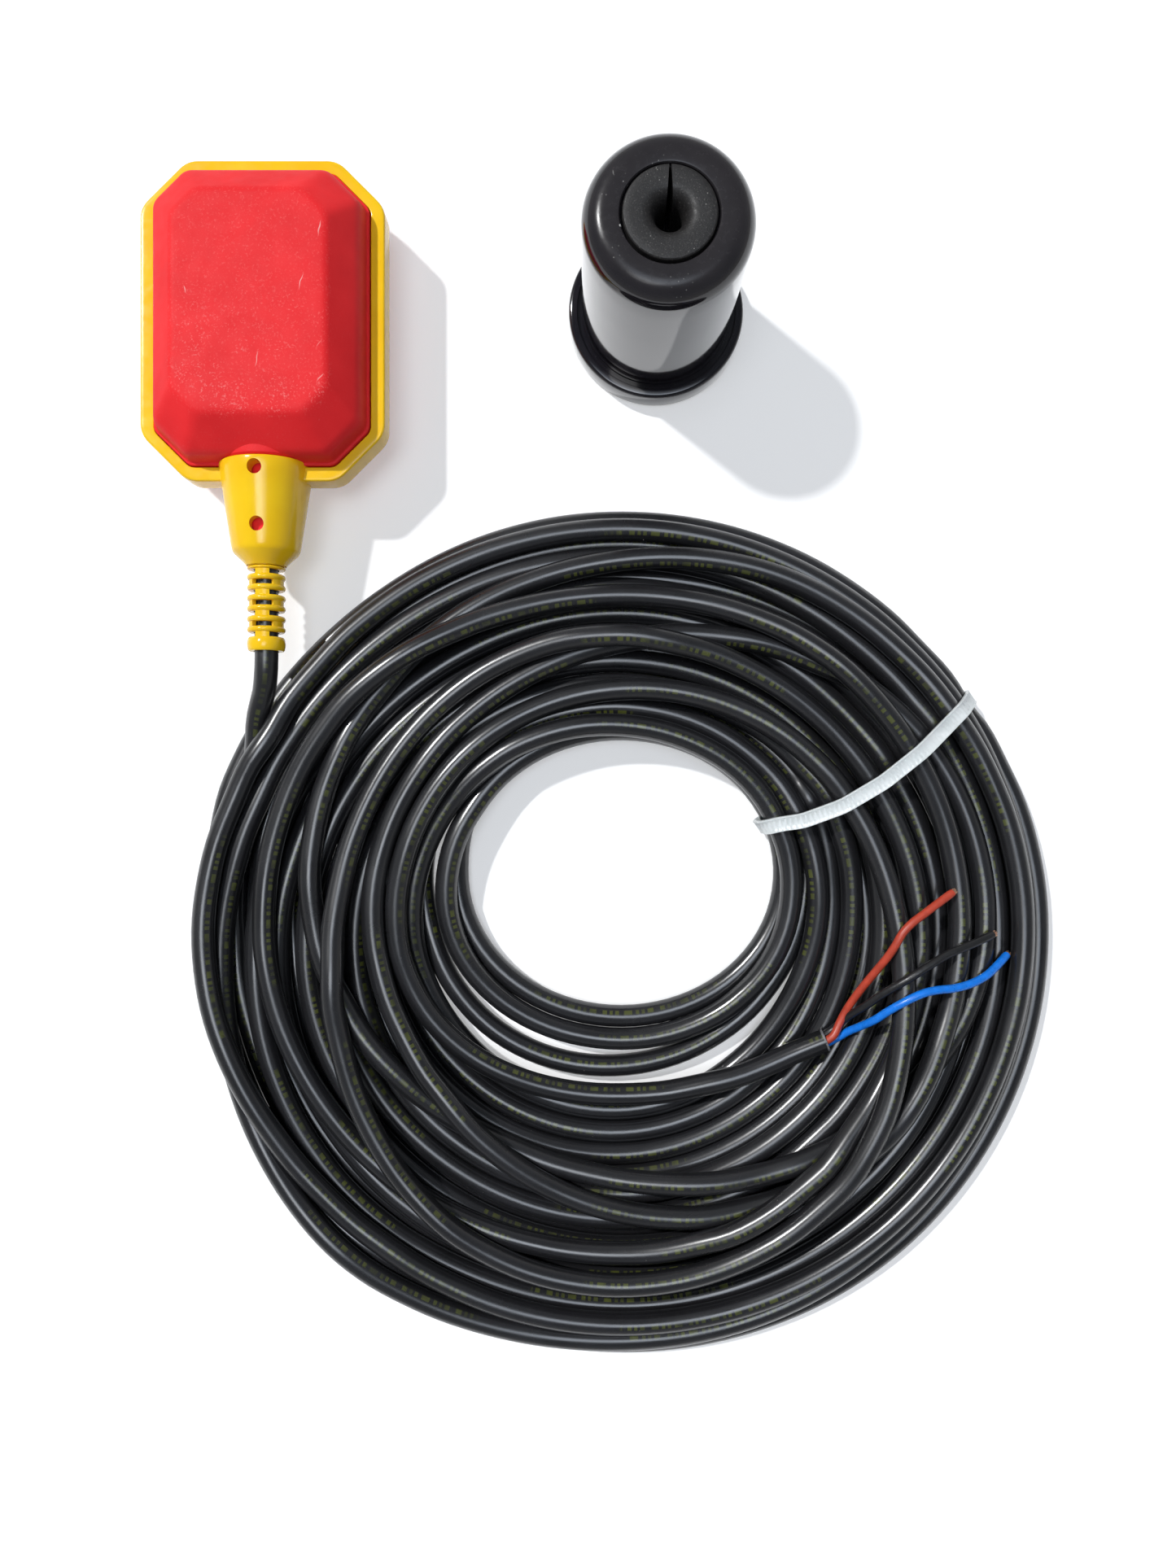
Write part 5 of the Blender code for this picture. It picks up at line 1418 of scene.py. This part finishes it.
def weight_bush():
    """The split rubber bush: a funnel and hole, open by a wedge towards +Y.

    Every point of the section starts half the wedge's angle asin(w / 2r) past +Y and
    goes round to the same angle before it, w falling from 1.8 to 0.6 mm outwards.
    """
    radius = np.array(BUSH_PROFILE)[:, 0]
    gap = np.interp(radius, (0.0039, 0.0135), (0.0018, 0.0006))
    half = np.arcsin(gap / 2 / radius)
    t = np.linspace(0, 1, 90)[:, None]
    turn = np.pi / 2 + half + t * (2 * np.pi - 2 * half)
    stand_in("weight_bush", [skin(turned_z(BUSH_PROFILE, turn))], WEIGHT_RUBBER)


for weight_name, outline in (("weight_shell", SHELL_PROFILE), ("weight_base", BASE_PROFILE)):
    drum = turned_z(outline, circle(96)[:, None])[:, ::-1]
    stand_in(weight_name, [skin(drum, along=True)], WEIGHT_PLASTIC)
weight_bush()


# Inner parts keep their solids and get finishes

FINISHES = (
    (CARRIER, "cable_clamp ball_chamber switch_frame switch_cover ball_lever"),
    (SEAL, "cable_seal"),
    (RESIN, "potting_resin"),
    (STEEL, "lever_pin tilt_ball microswitch_pin_upper microswitch_pin_lower"),
    (STEEL, "carrier_screw_left carrier_screw_right"),
    (SWITCH_CASE, "microswitch_body"),
    (PLUNGER, "microswitch_plunger"),
    (TERMINAL, "microswitch_terminal_common microswitch_terminal_open microswitch_terminal_closed"),
    (BROWN_CORE, "inner_core_brown"),
    (BLACK_CORE, "inner_core_black"),
    (BLUE_CORE, "inner_core_blue"),
    (IRON, "weight_slug"),
)


def finish_inner_parts():
    """Give each solid that stays its own material."""
    for material, names in FINISHES:
        for node in names.split():
            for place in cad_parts[node].material_slots:
                place.material = material


finish_inner_parts()


# Floor and light


def lay_floor():
    """A wide pale floor just under the object, lifted to white for camera and mirrors.

    The lift is added to the lit surface, so that the object's shadow stays.
    """
    near, far = -FLOOR_REACH, FLOOR_REACH
    corners = [(near, near), (far, near), (far, far), (near, far)]
    mesh = bpy.data.meshes.new("floor")
    mesh.from_pydata([(x, y, FLOOR_HEIGHT) for x, y in corners], [], [(0, 1, 2, 3)])
    floor = bpy.data.objects.new("floor", mesh)
    bpy.context.scene.collection.objects.link(floor)
    m = Finish("floor", (0.72, 0.72, 0.72), 0.9, Specular_IOR_Level=0.0)
    rays = m.node("LightPath", {})
    seen = m.most(rays["Is Camera Ray"], rays["Is Glossy Ray"])
    seen = m.most(seen, rays["Is Transmission Ray"])
    lift = m.node("Emission", {"Strength": m.times(seen, FLOOR_LIFT)})["Emission"]
    lit = m.tree.nodes["Principled BSDF"].outputs["BSDF"]
    both = m.node("AddShader", {0: lit, 1: lift})["Shader"]
    m.join(both, m.tree.nodes["Material Output"].inputs["Surface"])
    floor.data.materials.append(m.material)


def add_light(name, kind, towards, place=(0.0, 0.0, 0.0), **settings):
    """A lamp turned so that its light comes from a direction."""
    light = bpy.data.lights.new(name, kind)
    for setting, value in settings.items():
        setattr(light, setting, value)
    thing = bpy.data.objects.new(name, light)
    thing.location = place
    towards = np.asarray(towards, float) / np.linalg.norm(towards)
    sideways = math.atan2(towards[1], towards[0]) + math.pi / 2
    thing.rotation_euler = (math.acos(towards[2]), 0.0, sideways)
    bpy.context.scene.collection.objects.link(thing)


def light_scene():
    """A sun from the upper left, a soft lamp and a sky that is bright only overhead.

    The sky's bright patch is what the upper sides of the cable's turns mirror.
    """
    add_light("sun", "SUN", (-0.50, 0.40, 0.77), energy=2.45, angle=math.radians(2.5))
    lamp = {"shape": "DISK", "size": 0.5, "energy": 2.2}
    add_light("overhead", "AREA", (-0.25, -0.10, 1.5), (-0.15, -0.25, 1.5), **lamp)
    world = bpy.data.worlds.new("sky")
    bpy.context.scene.world = world
    world.use_nodes = True
    sky = Nodes(world.node_tree)
    inputs = world.node_tree.nodes["Background"].inputs
    height = sky.parts(sky.node("TexCoord", {})["Generated"])[2]
    colour = sky.mix(sky.spread(height, 0.0, 0.8), (1.0, 0.99, 0.97), (0.80, 0.88, 1.0))
    sky.join(colour, inputs["Color"])
    low = sky.spread(height, 0.05, 0.75, 0.47, 0.17)
    sky.join(sky.plus(low, sky.spread(height, 0.960, 0.990, 0.0, 4.8)), inputs["Strength"])


lay_floor()
light_scene()
